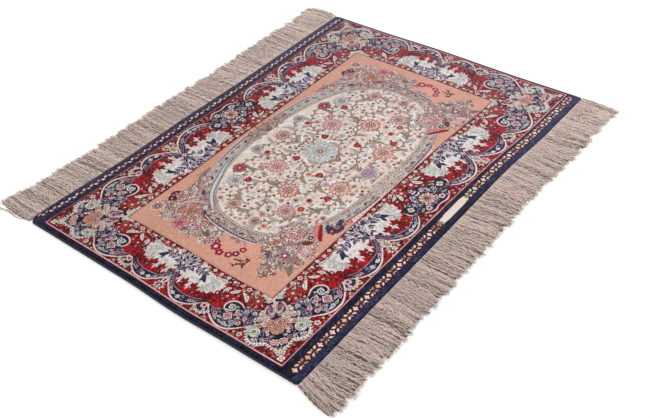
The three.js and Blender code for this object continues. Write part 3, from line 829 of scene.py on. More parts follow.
def guard(c):
    """The front guard in its own places: P along it and Q from its middle. Crosses of four petals
    alternate with pairs of strokes that cross, and four leaves lean between each two."""
    c.dye(slice(None), "navy")
    knots = np.flatnonzero(np.abs(c.q) < GUARD_HALF)
    c.lay(knots, GUARD_HALF - np.abs(c.q[knots]), [(0, "ink"), (0.8, "umber")])
    number = np.floor(c.p[knots] / GUARD_PITCH + 0.5).astype(int)
    across = c.p[knots] - number * GUARD_PITCH
    u, v = np.abs(across), np.abs(c.q[knots])
    c.lay(knots, 0.9 - np.abs(GUARD_PITCH / 2 - u - v * 1.2) / 1.5, [(0, "brown")])
    a, b = turned(u - 9.0, v - 3.9, -32)
    leaf = 2.2 * (1 - np.abs(a) / 4.3 - np.abs(b) / 2.35)
    reach = 4.3 + 1.0 * np.abs(v) / np.maximum(np.hypot(u, v), 0.1)
    petal = reach * (0.40 + 0.60 * np.abs(np.cos(2 * np.arctan2(v, u)))) - np.hypot(u, v)
    c.lay(knots, leaf, [(-0.6, "umber")])
    c.lay(knots, petal, [(-0.7, "umber")])
    turn = number * 2 + (across > 0)
    for step, leaf_yarn, petal_yarn in ((0, "blush", "blush"), (1, "dust", "blush"), (2, "blush", "peach")):
        c.dye(knots[(turn % 3 == step) & (leaf > 0)], leaf_yarn)
        c.dye(knots[(number % 3 == step) & (petal > 0)], petal_yarn)
    c.lay(knots, 1.6 - np.hypot(u, v), [(0, "blush")])
    # a short stroke fills the notch of each crossing, above one and below the next
    notch = 2.0 - np.abs(GUARD_PITCH / 2 - u) * 0.8 - np.abs(c.q[knots] * np.where(number % 2, 1, -1) - 4.6)
    c.lay(knots, notch, [(-0.6, "umber"), (0, "blush")])


def back_guard(c):
    """The back guard: a chain of slanting lozenges, by turns a little higher and lower."""
    c.dye(slice(None), "navy")
    number = np.floor(c.p / LOZENGE_PITCH + 0.5).astype(int)
    side = np.where(number % 2, 1, -1)
    a, b = turned(c.p - number * LOZENGE_PITCH, (c.q - 1.6 * side) * side, 32)
    c.dye(np.abs(c.q) < 4.6, "umber")
    pick = np.floor(np.abs(np.sin(number * 12.99) * 43758.5)).astype(int) % 7
    for step, name in enumerate(("blush", "pearl", "lilac", "blush", "olive", "pink", "cream")):
        c.dye((pick == step) & (np.abs(a) / 4.6 + np.abs(b) / 2.8 < 1), name)


def cartouche(c):
    """The bare pale cartouche in the front guard, P from its middle."""
    outline = [(-20, 0), (-15, 6.2), (52, 6.6), (58, 0), (53, -6.6), (-14, -6.6)]
    c.shape(outline, [(-0.9, "ink"), (0, "blush"), (1.0, "cream")])
    each(c, blade, ((-21, 0, 180), (59, 0, 0)), 11, 6.5, "olive", "ink")


# The field. Its places are plan mm on the near half; the far half is folded over onto them.

OVAL_MIDDLE = (6.0, -2.5)
# Superellipses round it: half width, half depth and power
OVAL_OUTER = (270.0, 164.5, 2.6)
OVAL_INNER = (243.5, 139.0, 2.5)
OVAL_LEAVES = (262.0, 157.5, 2.55)
OVAL_SCROLLS = (256.5, 151.5, 2.55)


def field_place(x, y):
    """A plan place folded onto the field's near half: the far half is a little narrower beside
    the oval, and leans to the front."""
    far = x > OVAL_MIDDLE[0]
    from_edge = np.interp(FIELD[1] - x, (0, 62.8, 332.8), (0, 76.4, 344.4))
    return np.where(far, FIELD[0] + from_edge, x), y + np.where(far, (x - OVAL_MIDDLE[0]) * 0.03, 0)


def oval_depth(c, oval):
    """Depth inside a superellipse, measured along the line to its middle."""
    a, b, power = oval
    u, v = c.p - OVAL_MIDDLE[0], c.q - OVAL_MIDDLE[1]
    level = (np.abs(u / a) ** power + np.abs(v / b) ** power) ** (1 / power)
    return np.hypot(u, v) * (1 / np.maximum(level, 1e-6) - 1)


def oval_stations(oval, spacing):
    """Places along the near half of a superellipse and the way it runs there, in degrees."""
    *half, power = oval
    angle = np.linspace(np.pi / 2, 3 * np.pi / 2, 2000)
    x, y = (middle + radius * np.sign(wave) * np.abs(wave) ** (2 / power)
            for middle, radius, wave in zip(OVAL_MIDDLE, half, (np.cos(angle), np.sin(angle))))
    run = np.concatenate([[0], np.cumsum(np.hypot(np.diff(x), np.diff(y)))])
    at = np.arange(spacing / 2, run[-1], spacing)
    low, high = np.searchsorted(run, at - 1), np.minimum(np.searchsorted(run, at + 1), len(run) - 1)
    turn = np.degrees(np.arctan2(y[high] - y[low], x[high] - x[low]))
    return enumerate(zip(np.interp(at, run, x), np.interp(at, run, y), turn))


def oval_band(c):
    """The ornamental band round the oval: small scrolls and leaves in greys close together."""
    outer, inner = oval_depth(c, OVAL_OUTER), oval_depth(c, OVAL_INNER)
    band = outer > 0
    above = band & (c.q > 76)
    shade = mottle(c.p, c.q, 1.9)
    stroke = (c.p * 0.8 + c.q * 0.6) / 3.4 % 1
    for where, name in ((band, "sand"), (band & (shade > 0.2), "mauve"), (band & (shade < -0.2), "taupe"),
                        (above, "mint"), (above & (stroke < 0.3), "slate"),
                        (above & (stroke > 0.75) & (shade > 0), "mauve")):
        c.dye(where, name)
    for number, (x, y, turn) in oval_stations(OVAL_SCROLLS, 7.6):
        yarn, line = ("cream", "sand", "mint", "blush")[number % 4], "brown" if number % 4 == 1 else "taupe"
        if abs(y) > 100:
            yarn, line = (("mint", "slate"), ("cream", "taupe"))[number % 2]
        curl(c, x, y, turn + (0 if number % 2 else 180), 4.4, 1.8, yarn, line, 1 if number % 2 else -1)
        for side in (-1, 1):
            across = np.radians(turn + 90 * side)
            blade(c, x + 4 * np.cos(across), y + 4 * np.sin(across), turn + 60 * side, 6.5, 3.0,
                  ("lilac", "sand", "mint", "cream", "slate")[(number + side) % 5],
                  "taupe" if abs(y) > 100 else "brown", 0.6)
    # small dark leaves by the way, a few of them slate
    for number, (x, y, turn) in oval_stations(OVAL_LEAVES, 21.0):
        blade(c, x, y, turn + 20, 9, 3.6, ("taupe", "slate", "brown")[number % 3], "brown", 0.6)
    c.lay(np.arange(c.p.size), inner, [(-6.4, "taupe"), (-4.8, "sand"), (-1.9, "taupe"), (-0.4, "ivory")])
    run = np.sin(c.p * 1.7 - c.q * 1.5) > 0.1
    for low, high in ((-6.4, -4.8), (-1.9, -0.4)):
        c.dye((inner > low) & (inner < high) & run, "brown")


def oval_lines(c):
    """The line round the outside of the band, pale with a dark edge within, where no leaves lie
    over it."""
    outer = oval_depth(c, OVAL_OUTER)
    from_middle = np.abs(c.p - OVAL_MIDDLE[0])
    sliver = (outer < 0) & (c.q < -150) & (from_middle < 124) & (c.yarn == YARN["peach"])
    c.dye(sliver, "pink")
    c.dye(sliver & (np.sin(c.p * 0.7) > -0.4), "blush")
    rim = (outer < 1.9) & ((np.abs(c.q) < 62) | (from_middle < 138))
    c.dye(rim & (outer > -2.8), "blush")
    c.dye(rim & (outer > -0.8), "steel")
    c.dye(rim & (outer > -0.8) & (np.sin(c.p * 0.9 + c.q) > 0.3), "plum")


def thicket(c, outline, seed, fills, lines, pitch=4.7, size=7.6):
    """Leaves, small flowers and scrolls close together over a patch: a jittered grid of places
    inside its outline, each motif turned by chance."""
    curve = smooth(outline, closed=True, steps=5)
    chance = np.random.default_rng(seed)
    low, high = curve.min(0), curve.max(0)
    p, q = np.meshgrid(np.arange(low[0], high[0], pitch), np.arange(low[1], high[1], pitch * 0.87))
    p, q = (part.ravel() + chance.uniform(-0.35, 0.35, p.size) * pitch for part in (p, q))
    inside = inside_curve(p, q, curve) > 0.5
    for p, q in zip(p[inside], q[inside]):
        pick, turn = int(chance.integers(0, 60)), float(chance.uniform(0, 360))
        fill, line = fills[pick % len(fills)], lines[pick % len(lines)]
        if pick < 40:
            blade(c, p, q, turn, size, size * 0.44, fill, line, 0.8)
        elif pick < 52:
            bloom(c, p, q, size * (0.4 + pick % 3 * 0.12), fill, "maroon" if pick % 2 else "brown", line, 5)
        else:
            curl(c, p, q, turn, size * 0.42, 1.5, fill, line, 1 if pick % 2 else -1)


ROSY = ("pink", "blush", "cream", "sand", "pink", "dust", "cream", "blush")
GREY = ("sand", "blush", "cream", "dust", "taupe", "sand", "cream", "lilac")
WARM = ("apricot", "peach", "salmon", "pink", "peach", "blush")
DARK_LINES = ("brown", "taupe", "dust", "umber")
# Thickets on the field: outline, fills, outlines of the leaves
FOLIAGE = (
    (((-318, 62), (-310, 72), (-296, 74), (-284, 66), (-276, 50), (-266, 32), (-264, 6), (-268, -4),
      (-282, 2), (-296, 0), (-308, 8), (-312, 24), (-306, 40), (-314, 50)), GREY),
    (((-306, 118), (-298, 134), (-284, 140), (-268, 150), (-246, 156), (-234, 148), (-220, 146),
      (-200, 144), (-184, 152), (-158, 152), (-160, 138), (-176, 128), (-206, 106), (-232, 78), (-256, 44),
      (-272, 36), (-292, 52), (-292, 80), (-284, 92), (-300, 104)), ROSY),
    (((-244, -70), (-230, -66), (-214, -76), (-196, -74), (-178, -84), (-172, -104), (-184, -118),
      (-176, -134), (-190, -148), (-208, -154), (-224, -166), (-240, -160), (-256, -160), (-270, -146),
      (-272, -132), (-262, -116), (-252, -100), (-246, -86)), ROSY),
    (((-312, -124), (-300, -108), (-284, -100), (-270, -86), (-252, -76), (-243, -90), (-250, -110),
      (-262, -122), (-276, -128), (-292, -136), (-308, -133)), GREY),
)
# Flowers on the field: place, size, petals and heart
FIELD_BLOOMS = (
    (-303, -11, 9.4, "red", "pink"), (-293, -5, 5.0, "maroon", "pink"), (-310, -26, 7.2, "red", "coral"),
    (-305, -43, 6.8, "red", "pink"), (-296, -52, 6.2, "maroon", "pink"), (-282, -56, 6.0, "red", "pink"),
    (-270, -20, 3.6, "mauve", "steel"), (-272, -34, 3.8, "mauve", "coral"),
    (-252, -123, 7.0, "rose", "cream"), (-251, -142, 6.4, "dust", "maroon"),
    (-267, -133, 5.6, "pink", "plum"), (-235, -119, 6.6, "mint", "taupe"),
    (-193, -131, 4.6, "teal", "sky"), (-208, -104, 6.4, "pink", "rose"), (-196, -112, 6.4, "pink", "rose"),
    (-190, -96, 6.2, "blush", "rose"), (-288, 152, 9.6, "dust", "plum"), (-288, 50, 5.6, "pink", "rose"),
    (-300, 30, 5.0, "sand", "brown"), (-296, 12, 4.6, "lilac", "brown"),
)
# Tendrils on the bare peach, and the leaves under the band's shoulder: place, turn, length, width
# and fill
TENDRILS = (((-319, -60), (-316, -70), (-309, -74), (-312, -80)), ((-309, -74), (-302, -70), (-305, -64)),
            ((-309, -74), (-302, -82), (-298, -82)), ((-292, -72), (-294, -78)))
SHOULDER_LEAVES = (
    (-188, 134, 40, 22, 8, "slate"), (-176, 136, 15, 20, 7, "mint"), (-166, 145, 200, 18, 7, "slate"),
    (-221, 130, 40, 18, 7, "slate"), (-214, 138, 350, 14, 6, "sand"), (-217, 104, 50, 16, 6, "steel"),
    (-229, 96, 40, 14, 6, "mauve"), (-270, 30, 60, 15, 6, "taupe"), (-262, 50, 70, 16, 5, "steel"),
    (-256, 62, 50, 16, 5, "steel"),
)


def lower_spandrel(c):
    """Below: the long ribbed leaves that fan out of the band, the tendrils and the pale patch."""
    for step in range(9):
        feather(c, -246 + step, -92 - step * 1.5, 196 + step * 5.5, 60 - abs(step - 5) * 5, 9.5,
                ("sand", "dust", "slate")[step % 3], "taupe", 2)
    thicket(c, FOLIAGE[3][0], 15, GREY, DARK_LINES, 4.2, 7.0)
    for stalk in TENDRILS:
        twig(c, stalk, "brown", 1.6, 5.0, "umber", 6.0)
    blade(c, -285, -160, 30, 27, 8, "taupe", "brown", 1)
    blade(c, -276, -154, 70, 13, 5, "slate", "brown", 1)
    for step, fill in enumerate(("blush", "pink", "lilac", "blush", "pink")):
        blade(c, -242 + step * 5.5, -156 + step * 1.5, 68 - step * 6, 22, 6.5, fill, "dust")
    # the red comb and the brown leaf
    blade(c, -214, -130, 320, 20, 9, "brown", "umber", 1)
    blade(c, -222, -122, 340, 16, 6, "taupe", "brown", 1)
    c.path([(-189, -149, 4), (-180, -141, 7), (-168, -132, 7), (-158, -127, 4)],
           [(-0.9, "maroon"), (0, "red")])
    for step in range(8):
        blade(c, -188 + step * 3.9, -142 + step * 2.5, 118, 7.5, 2.6, "pink", "coral")


def upper_spandrel(c):
    """Above: a halo, a dark cluster, the dotted scroll with its orange inside, and the pink daisy."""
    bloom(c, -288, 152, 12.0, "blush", "blush", "blush", 12)
    each(c, blade, ((-264, 142, 40, 18), (-256, 150, 10, 20), (-250, 146, 200, 16), (-246, 152, 340, 12)),
         9, "maroon", "plum", 1)
    each(c, bloom, ((-258, 146), (-250, 151), (-243, 150), (-263, 141)), 2.6, "pink", "rose", "maroon", 5)
    for ring, (reach, count, length) in enumerate(((15, 15, 8.5), (10, 12, 8.0), (5, 8, 7.0))):
        fills = [WARM[(step * 2 + ring) % 6] for step in range(count)]
        rays(c, -262, 91, 360 * (np.arange(count) + 0.5 * ring) / count, length, 4.8, fills, "brown", 0.5,
             reach=reach, tall=1.15, lean=16)
    bloom(c, -262, 91, 4.4, "apricot", "brown", "brown", 5)
    feather(c, -307, 122, 300, 28, 11, "cream", "brown", -3)
    feather(c, -300, 128, 330, 26, 9, "cream", "brown", -2)
    c.path([(-285, 108, 2.4), (-275, 116, 3.6), (-262, 119, 4), (-249, 117, 4.4), (-240, 106, 4.4),
            (-234, 94, 4), (-231, 83, 3)], [(-0.9, "brown"), (0, "blush"), (1.1, "taupe"), (1.6, "blush")])
    rays(c, -298, 84, range(8, 368, 36), 15, 5.2, ("pink", "rose"), "rose", 0, "pink")
    bloom(c, -298, 84, 4.2, "maroon", "pink", "rose", 6)
    # the slate scrolls on the band's shoulder, and the dark leaves under them
    each(c, blade, SHOULDER_LEAVES, "brown", 1)
    each(c, curl, ((-182, 140, 20), (-168, 138, 200), (-214, 134, 30), (-198, 138, 120)),
         5.5, 2.2, "cream", "brown")
    c.path([(-206, 131, 1.6), (-196, 138, 1.8), (-184, 146, 1.8), (-170, 151, 1.8), (-152, 153, 1.6)],
           [(-0.9, "brown"), (0, "dust")])


def crossing_ornaments(c):
    """The acanthus at the top and the foot of the oval."""
    for foot, seed, fills, lines in (
            (136, 31, ("sand", "dust", "blush", "sand", "taupe"), ("brown", "brown", "taupe")),
            (-167, 32, ("cream", "blush", "mint", "sand", "cream"), ("taupe", "dust", "taupe"))):
        patch = ((-38, 2), (-30, 10), (-36, 20), (-20, 26), (8, 26), (8, 2))
        thicket(c, [(p, foot + q) for p, q in patch], seed, fills, lines)
        for step in range(-3, 1):
            feather(c, OVAL_MIDDLE[0] + step * 2.5, foot, 90 - step * 24, 27 + step * 3, 9, fills[-step],
                    lines[0], step)
        bloom(c, OVAL_MIDDLE[0], foot + 6, 5.0, fills[1], "brown", lines[0], 8)
    each(c, feather, ((-40, 150, 200), (-34, 142, 160), (-26, 154, 20)), 22, 8, "sand", "brown", 2)


def spandrels(c):
    for number, (outline, fills) in enumerate(FOLIAGE[:3]):
        thicket(c, outline, 11 + number, fills, DARK_LINES)
    lower_spandrel(c)
    upper_spandrel(c)
    # the oval's left and right knots of leaves
    for q, side in ((-28, 1), (-44, -1), (22, -1), (6, 1)):
        blade(c, -266, q, 90 + side * 35, 10, 4, "slate", "steel", 1)
        blade(c, -267, q, 270 + side * 35, 8, 3.6, "mauve", "taupe", 1)
    for *flower, heart in FIELD_BLOOMS:
        size, petal = flower[2:]
        line = "rose" if petal in ("red", "maroon") else "brown"
        bloom(c, *flower, heart, line, 5 + (size < 5) + (size > 9) * 2)
    oval_lines(c)
    crossing_ornaments(c)


# The dark cluster of leaves at the front of the oval: place, turn and length
CLUSTER = ((-168, -150, 20, 20), (-150, -156, 30, 18), (-160, -158, 340, 16), (-146, -150, 200, 16),
           (-138, -152, 10, 14), (-152, -148, 160, 14), (-166, -158, 40, 20), (-156, -162, 35, 20),
           (-146, -164, 35, 18), (-162, -144, 35, 16))


def near_cluster(c):
    """What the near half alone has: the silver ribbon over the band, and the dark cluster."""
    c.path([(-237, 63, 5), (-229, 72, 7), (-216, 87, 8), (-197, 102, 8), (-177, 112, 8), (-160, 119, 7.5),
            (-134, 130, 6), (-106, 137, 4)], [(-1.0, "brown"), (0, "slate"), (1.1, "sky"), (2.7, "mint")])
    c.path([(-239, 59, 1.8), (-226, 66, 2.0), (-212, 81, 2.0), (-193, 95.5, 2.0), (-174, 106, 2.0),
            (-150, 116, 1.6)], [(-0.6, "blush"), (0, "taupe")])
    blade(c, -246, 72, 40, 15, 9, "mint", "steel", 1)
    each(c, blade, CLUSTER, 6.5, "plum", "ink", 1, "steel")
    each(c, bloom, ((-146, -152, 5.0, "mauve", "plum", "ink"), (-160, -151, 4.6, "rose", "mauve", "ink"),
                    (-132, -158, 4.4, "pink", "maroon", "plum", 5),
                    (-121, -161, 4.4, "coral", "cream", "rose", 5)))


AXIS = OVAL_MIDDLE[0]
# The oval's flower design, drawn for its near half: stalks, and blossoms as rows of place, size,
# outer petals, inner petals and heart
OVAL_STALKS = (
    ((AXIS, -128), (AXIS, -90), (AXIS, -40), (AXIS, 0), (AXIS, 60), (AXIS, 108)),
    ((AXIS, -112), (-22, -96), (-58, -98), (-96, -108), (-130, -100), (-158, -78), (-164, -52)),
    ((AXIS, -84), (-18, -62), (-52, -50), (-88, -56), (-112, -42), (-118, -16)),
    ((AXIS, -40), (-20, -16), (-46, -4), (-80, -10), (-108, 8), (-142, 14), (-176, -4), (-206, 10)),
    ((-108, 8), (-120, 34), (-146, 52), (-178, 56), (-204, 44)),
    ((AXIS, 18), (-14, 44), (-40, 54), (-68, 48), (-92, 62), (-124, 84), (-152, 86)),
    ((-40, 54), (-50, 80), (-76, 98), (-104, 108), (-128, 106)),
    ((AXIS, 66), (-12, 88), (-30, 106), (-56, 116)),
    ((-158, -78), (-180, -66), (-200, -46), (-216, -22)),
)
OVAL_BLOSSOMS = (
    (AXIS, 8, 34, "sky", "mint", "coral"), (-118, -16, 22, "salmon", "blush", "maroon"),
    (-60, -92, 22, "peach", "blush", "brown"), (-164, -50, 18, "pink", "blush", "maroon"),
    (-76, 48, 21, "pink", "blush", "rose"), (-152, 86, 17, "sky", "pearl", "rose"),
    (-204, 42, 14, "peach", "blush", "maroon"), (-120, 104, 14, "red", "coral", "blush"),
    (AXIS, 104, 20, "blush", "dust", "rose"), (AXIS, -108, 19, "lilac", "mauve", "sand"),
    (-56, 116, 12, "sky", "mint", "rose"), (-216, -22, 11, "blush", "dust", "maroon"),
)


def oval_centre(c):
    """A generic spray of garden flowers on the pale ground of the oval: stalks that rise from the
    foot of the axis and bow to both sides, with blossoms, buds and long leaves."""
    ground = c.yarn == YARN["ivory"]
    shade = mottle(c.p, c.q, 8.0)
    c.dye(ground & (shade > 0.6), "blush")
    c.dye(ground & (shade < -0.5), "pearl")
    for stalk in OVAL_STALKS:
        twig(c, stalk, "brown", 1.3, 9.0, "sage", 9.0, "dust")
        for number, (place, turn) in enumerate(stations(stalk, 48.0, 0.8)[0]):
            side = 1 if number % 2 else -1
            fill = ("sand", "olive", "sage")[number % 3]
            feather(c, *place, turn + 52 * side, 27, 8, fill, "taupe", -4 * side)
    # large blossoms: rings of petals laid from the outside in
    for p, q, size, outer, inner, heart in OVAL_BLOSSOMS:
        for fill, line, share, count in ((outer, "brown", 1.0, 14), (inner, "dust", 0.76, 12),
                                         (outer, "brown", 0.54, 9), (inner, "brown", 0.34, 6)):
            rays(c, p, q, 360 * (np.arange(count) + share) / count, size * share, size * share * 0.5,
                 (fill,), line)
        bloom(c, p, q, max(size * 0.14, 2.4), heart, "cream", "brown", 6)
    # red tulips bow out of the middle stalk
    for p, q, turn in ((-30, 30, 150), (-92, -84, 250), (-140, 60, 70), (-44, -34, 200)):
        rays(c, p, q, (turn - 24, turn + 24, turn), 15, 6.4, ("red", "red", "coral"), "umber", 0.4)

    def blossom(p, q, pick, turn):
        bloom(c, p, q, 5 + pick % 4 * 0.5, ("pink", "sky", "blush", "coral", "peach", "lilac")[pick % 6],
              ("maroon", "rose", "plum")[pick % 3], ("taupe", "brown")[pick % 2])

    filler = mixture(c, (bloom, "pink red peach", (2.7,), ("rose", "taupe", 5)),
                     (blade, "olive sand sage dust mint olive", (7.5, 3.0), ("taupe", 0.8)),
                     (curl, "dust sage mauve", (3.4, 1.0), ("ivory", 1)))
    for pitch, clear, draw in ((27.0, 5.0, blossom), (9.6, 3.0, filler)):
        scatter(c, "ivory blush pearl", (-240, 8, -138, 98), pitch, clear, 21, draw)


def field(c):
    """The peach ground with its flecks, the band, the oval and what lies round it."""
    fleck = speckle(np.round(c.p * 1.1) * 12.9 + np.round(c.q * 1.1) * 78.2)
    c.dye(slice(None), "peach")
    c.dye(fleck > 0.93, "apricot")
    c.dye(fleck < 0.04, "blush")
    oval_band(c)
    oval_centre(c)
    spandrels(c)


def draw_chart(x, y):
    """The whole chart: the yarn of the knot at each plan place."""
    shape = x.shape
    x, y = x.ravel(), y.ravel()
    yarn = np.full(x.size, YARN["navy"], np.int16)

    def draw(knots, p, q, *steps):
        c = Cartoon(p, q, yarn[knots])
        for step in steps:
            step(c)
        yarn[knots] = c.result()

    p, q = border_place(x, y)
    inside = np.flatnonzero((q > 0) & (q < DEPTH))
    draw(inside, p[inside], q[inside], border)
    for middle, *steps in ((np.full(x.size, GUARD_MIDDLE), guard, cartouche),
                           (np.interp(x, *np.array(BACK_GUARD).T), back_guard)):
        knots = np.flatnonzero((np.abs(y - middle) < 8) & (q < -1.5) & (np.abs(x) < 438))
        draw(knots, x[knots] - GUARD_PHASE, (y - middle)[knots], *steps)
    outside = (yarn == YARN["navy"]) & (q < 0)
    cover_navy(yarn, outside, x * 0.8, y)
    # painted sheen: more bluer and paler knots towards the ends of the front band, and more still in the back
    # bands, most in the outer one
    for part, pale in ((y < -299, 0.15 + 0.35 * np.minimum(np.abs(x) / 250, 1)),
                       ((y > 270) & (y < 293), 0.30), (y > 293, 0.75)):
        cover_band_with_sheen(yarn, part & outside, x, y, pale)
    outer_lines(yarn, x, y, q)
    within = np.flatnonzero(q >= DEPTH)
    draw(within, *field_place(x[within], y[within]), field)
    near = within[x[within] < OVAL_MIDDLE[0]]
    draw(near, x[near], y[near], near_cluster)
    # a thin line runs round the field, just inside its edge
    edge = np.minimum(np.minimum(x - FIELD[0], FIELD[1] - x), np.minimum(y - FIELD[2], FIELD[3] - y))
    yarn[(edge > 1.2) & (edge < 2.1) & (yarn == YARN["peach"])] = YARN["dust"]
    return yarn.reshape(shape)


# Shapes that several pieces share


def eased(table, at):
    """Height of a curve through a table's rows (place, height): smoothstep from row to row."""
    places, heights = np.array(table, float).T
    row = np.clip(np.searchsorted(places, at, side="right") - 1, 0, len(places) - 2)
    t = np.clip((at - places[row]) / (places[row + 1] - places[row]), 0, 1)
    t = t * t * (3 - 2 * t)
    return heights[row] + (heights[row + 1] - heights[row]) * t


def steady(index, seed):
    """A steady number between -1 and 1 for a whole number: the fraction of a steep sine."""
    wave = np.sin(index * 12.9898 + seed * 78.233) * 43758.5453
    return 2 * (wave - np.floor(wave)) - 1


def corner_pull(radius, distance):
    """How far a corner's arc pulls the side in: radius less the chord height of a circle."""
    short = np.clip(radius - distance, 0, radius)
    return radius - np.sqrt(radius ** 2 - short ** 2)


OUTWARD = {"near": -1, "far": 1, "front": -1, "back": 1}


def edge(side, at):
    """X of a selvedge side or Y of a fringed one, at a place along it."""
    half = HALF_WIDTH if side in ("near", "far") else HALF_DEPTH
    return OUTWARD[side] * (half + eased(EDGE_BULGE[side], at))


def pile_place(u, v, inset=0.0):
    """A place on the pile's plan: u runs from the near selvedge to the far one and v from
    front to back, both straight between the bulging edges, with the corner arcs pulled in."""
    middle_y = -HALF_DEPTH + PILE_DEPTH * v
    from_back = np.maximum(edge("back", 0.0) - middle_y, 0)
    from_front = np.maximum(middle_y - edge("front", 0.0), 0)
    low, high = (edge(side, middle_y) - OUTWARD[side] * (
        PILE_INSET + inset + corner_pull(CORNER_ROUND["back_" + side], from_back)
        + corner_pull(CORNER_ROUND["front_" + side], from_front)) for side in ("near", "far"))
    x = low + (high - low) * u
    front, back = edge("front", x) + inset, edge("back", x) - inset
    return x, front + (back - front) * v


def unevenness(x, y):
    """The top of the cloth wanders by a sum of two slow waves."""
    slow = np.sin(x / 83 + 0.6) * np.cos(y / 71 - 0.4)
    slower = np.sin(x / 190 - y / 160 + 1.1)
    return PILE_UNEVENNESS * (0.55 * slow + 0.45 * slower)


def plan_shift():
    """What takes plan places to the part's frame, in metres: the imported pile's lowest corner
    less the plan's lowest corner."""
    u, v = np.meshgrid(np.linspace(0, 1, 25), (1 - np.cos(np.linspace(0, np.pi, 21))) / 2)
    x, y = pile_place(u, v)
    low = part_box("rug_pile")[0]
    return np.array([low.x - x.min() * MM, low.y - y.min() * MM, 0.0])


def add_object(name, data):
    thing = bpy.data.objects.new(name, data)
    bpy.context.scene.collection.objects.link(thing)
    return thing


def new_mesh_piece(name, points, loops, sizes, material):
    """A piece from arrays: points in plan mm, the corners of all faces and each face's size."""
    mesh = bpy.data.meshes.new(name)
    mesh.vertices.add(len(points))
    places = (np.asarray(points, float) * MM + plan_shift()).astype(np.float32)
    mesh.vertices.foreach_set("co", places.ravel())
    mesh.loops.add(len(loops))
    mesh.loops.foreach_set("vertex_index", np.asarray(loops, np.int32))
    mesh.polygons.add(len(sizes))
    starts = np.concatenate([[0], np.cumsum(sizes)[:-1]]).astype(np.int32)
    mesh.polygons.foreach_set("loop_start", starts)
    mesh.update(calc_edges=True)
    if mesh.validate():
        raise RuntimeError(f"{name} has broken faces")
    mesh.materials.append(material)
    return add_object(name, mesh)


def set_attribute(piece, name, kind, domain, values):
    attribute = piece.data.attributes.new(name, kind, domain)
    field = {"FLOAT": "value", "FLOAT_VECTOR": "vector"}[kind]
    attribute.data.foreach_set(field, np.asarray(values, np.float32).ravel())


def shade_smooth(piece):
    piece.data.polygons.foreach_set("use_smooth", np.full(len(piece.data.polygons), True))
    piece.data.update()


def settle(piece, node):
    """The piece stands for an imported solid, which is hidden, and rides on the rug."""
    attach(piece, "root")
    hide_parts(node)


# Material building

NAP_SCALE = 190.0              # patches of nap across a metre
PAINTED_NAP_SHADE = 0.9              # painted nap shading: how much the patches darken and lighten the yarn
PAINTED_SHEEN_START = 0.54              # share of the noise where the painted sheen haze sets in
PAINTED_SHADE_AT_BACK = 0.83             # painted shade: share of its colour that the pile keeps at the back
# painted shade: share of its colour that the pile keeps at the near side
PAINTED_SHADE_AT_NEAR = 0.93
# painted sheen: how much of a cool pale colour is mixed into the pile towards the far side, and that colour
PAINTED_SHEEN_STRENGTH = 0.045
PAINTED_SHEEN_COLOUR = (0.66, 0.62, 0.76)
# colours of the painted sheen haze in the patches
PAINTED_SHEEN_COOL = (0.34, 0.40, 0.50)
PAINTED_SHEEN_WARM = (0.56, 0.44, 0.54)


def linear(colour):
    """A screen colour, 0 to 1, as the linear colour that Blender's sockets hold."""
    c = np.asarray(colour, float)
    return tuple(np.where(c <= 0.04045, c / 12.92, ((c + 0.055) / 1.055) ** 2.4).tolist())


class Tree:
    """Adds nodes to a node tree: a socket given as an input is linked, a value is set."""

    def __init__(self, tree):
        self.tree = tree

    def add(self, kind, inputs=None, **settings):
        node = self.tree.nodes.new(kind)
        for name, value in settings.items():
            setattr(node, name, value)
        self.feed(node, inputs or {})
        return node

    def feed(self, node, inputs):
        for name, value in inputs.items():
            if isinstance(value, bpy.types.NodeSocket):
                self.tree.links.new(value, node.inputs[name])
            elif len(np.shape(value)) and len(value) == 3:
                node.inputs[name].default_value = (*value, 1)
            else:
                node.inputs[name].default_value = value

    def math(self, operation, *values):
        return self.add("ShaderNodeMath", dict(enumerate(values)), operation=operation).outputs[0]

    def times(self, a, b):
        return self.math("MULTIPLY", a, b)

    def plus(self, a, b):
        return self.math("ADD", a, b)

    def minus(self, a, b):
        return self.math("SUBTRACT", a, b)

    def attribute(self, name, output="Fac"):
        return self.add("ShaderNodeAttribute", attribute_name=name).outputs[output]

    def mix(self, factor, a, b):
        return self.add("ShaderNodeMix", {0: factor, 6: a, 7: b}, data_type="RGBA").outputs[2]

    def place(self):
        """X, Y and Z in the object's own coordinates."""
        spot = self.add("ShaderNodeTexCoord").outputs["Object"]
        return self.add("ShaderNodeSeparateXYZ", {0: spot}).outputs


def new_group(name, inputs, outputs):
    """An empty node group with named sockets: rows of (name, socket kind, default)."""
    group = bpy.data.node_groups.new(name, "ShaderNodeTree")
    for rows, way in ((inputs, "INPUT"), (outputs, "OUTPUT")):
        for row in rows:
            socket = group.interface.new_socket(row[0], in_out=way, socket_type=row[1])
            if len(row) > 2:
                socket.default_value = row[2]
    tree = Tree(group)
    return tree, tree.add("NodeGroupInput").outputs, tree.add("NodeGroupOutput").inputs


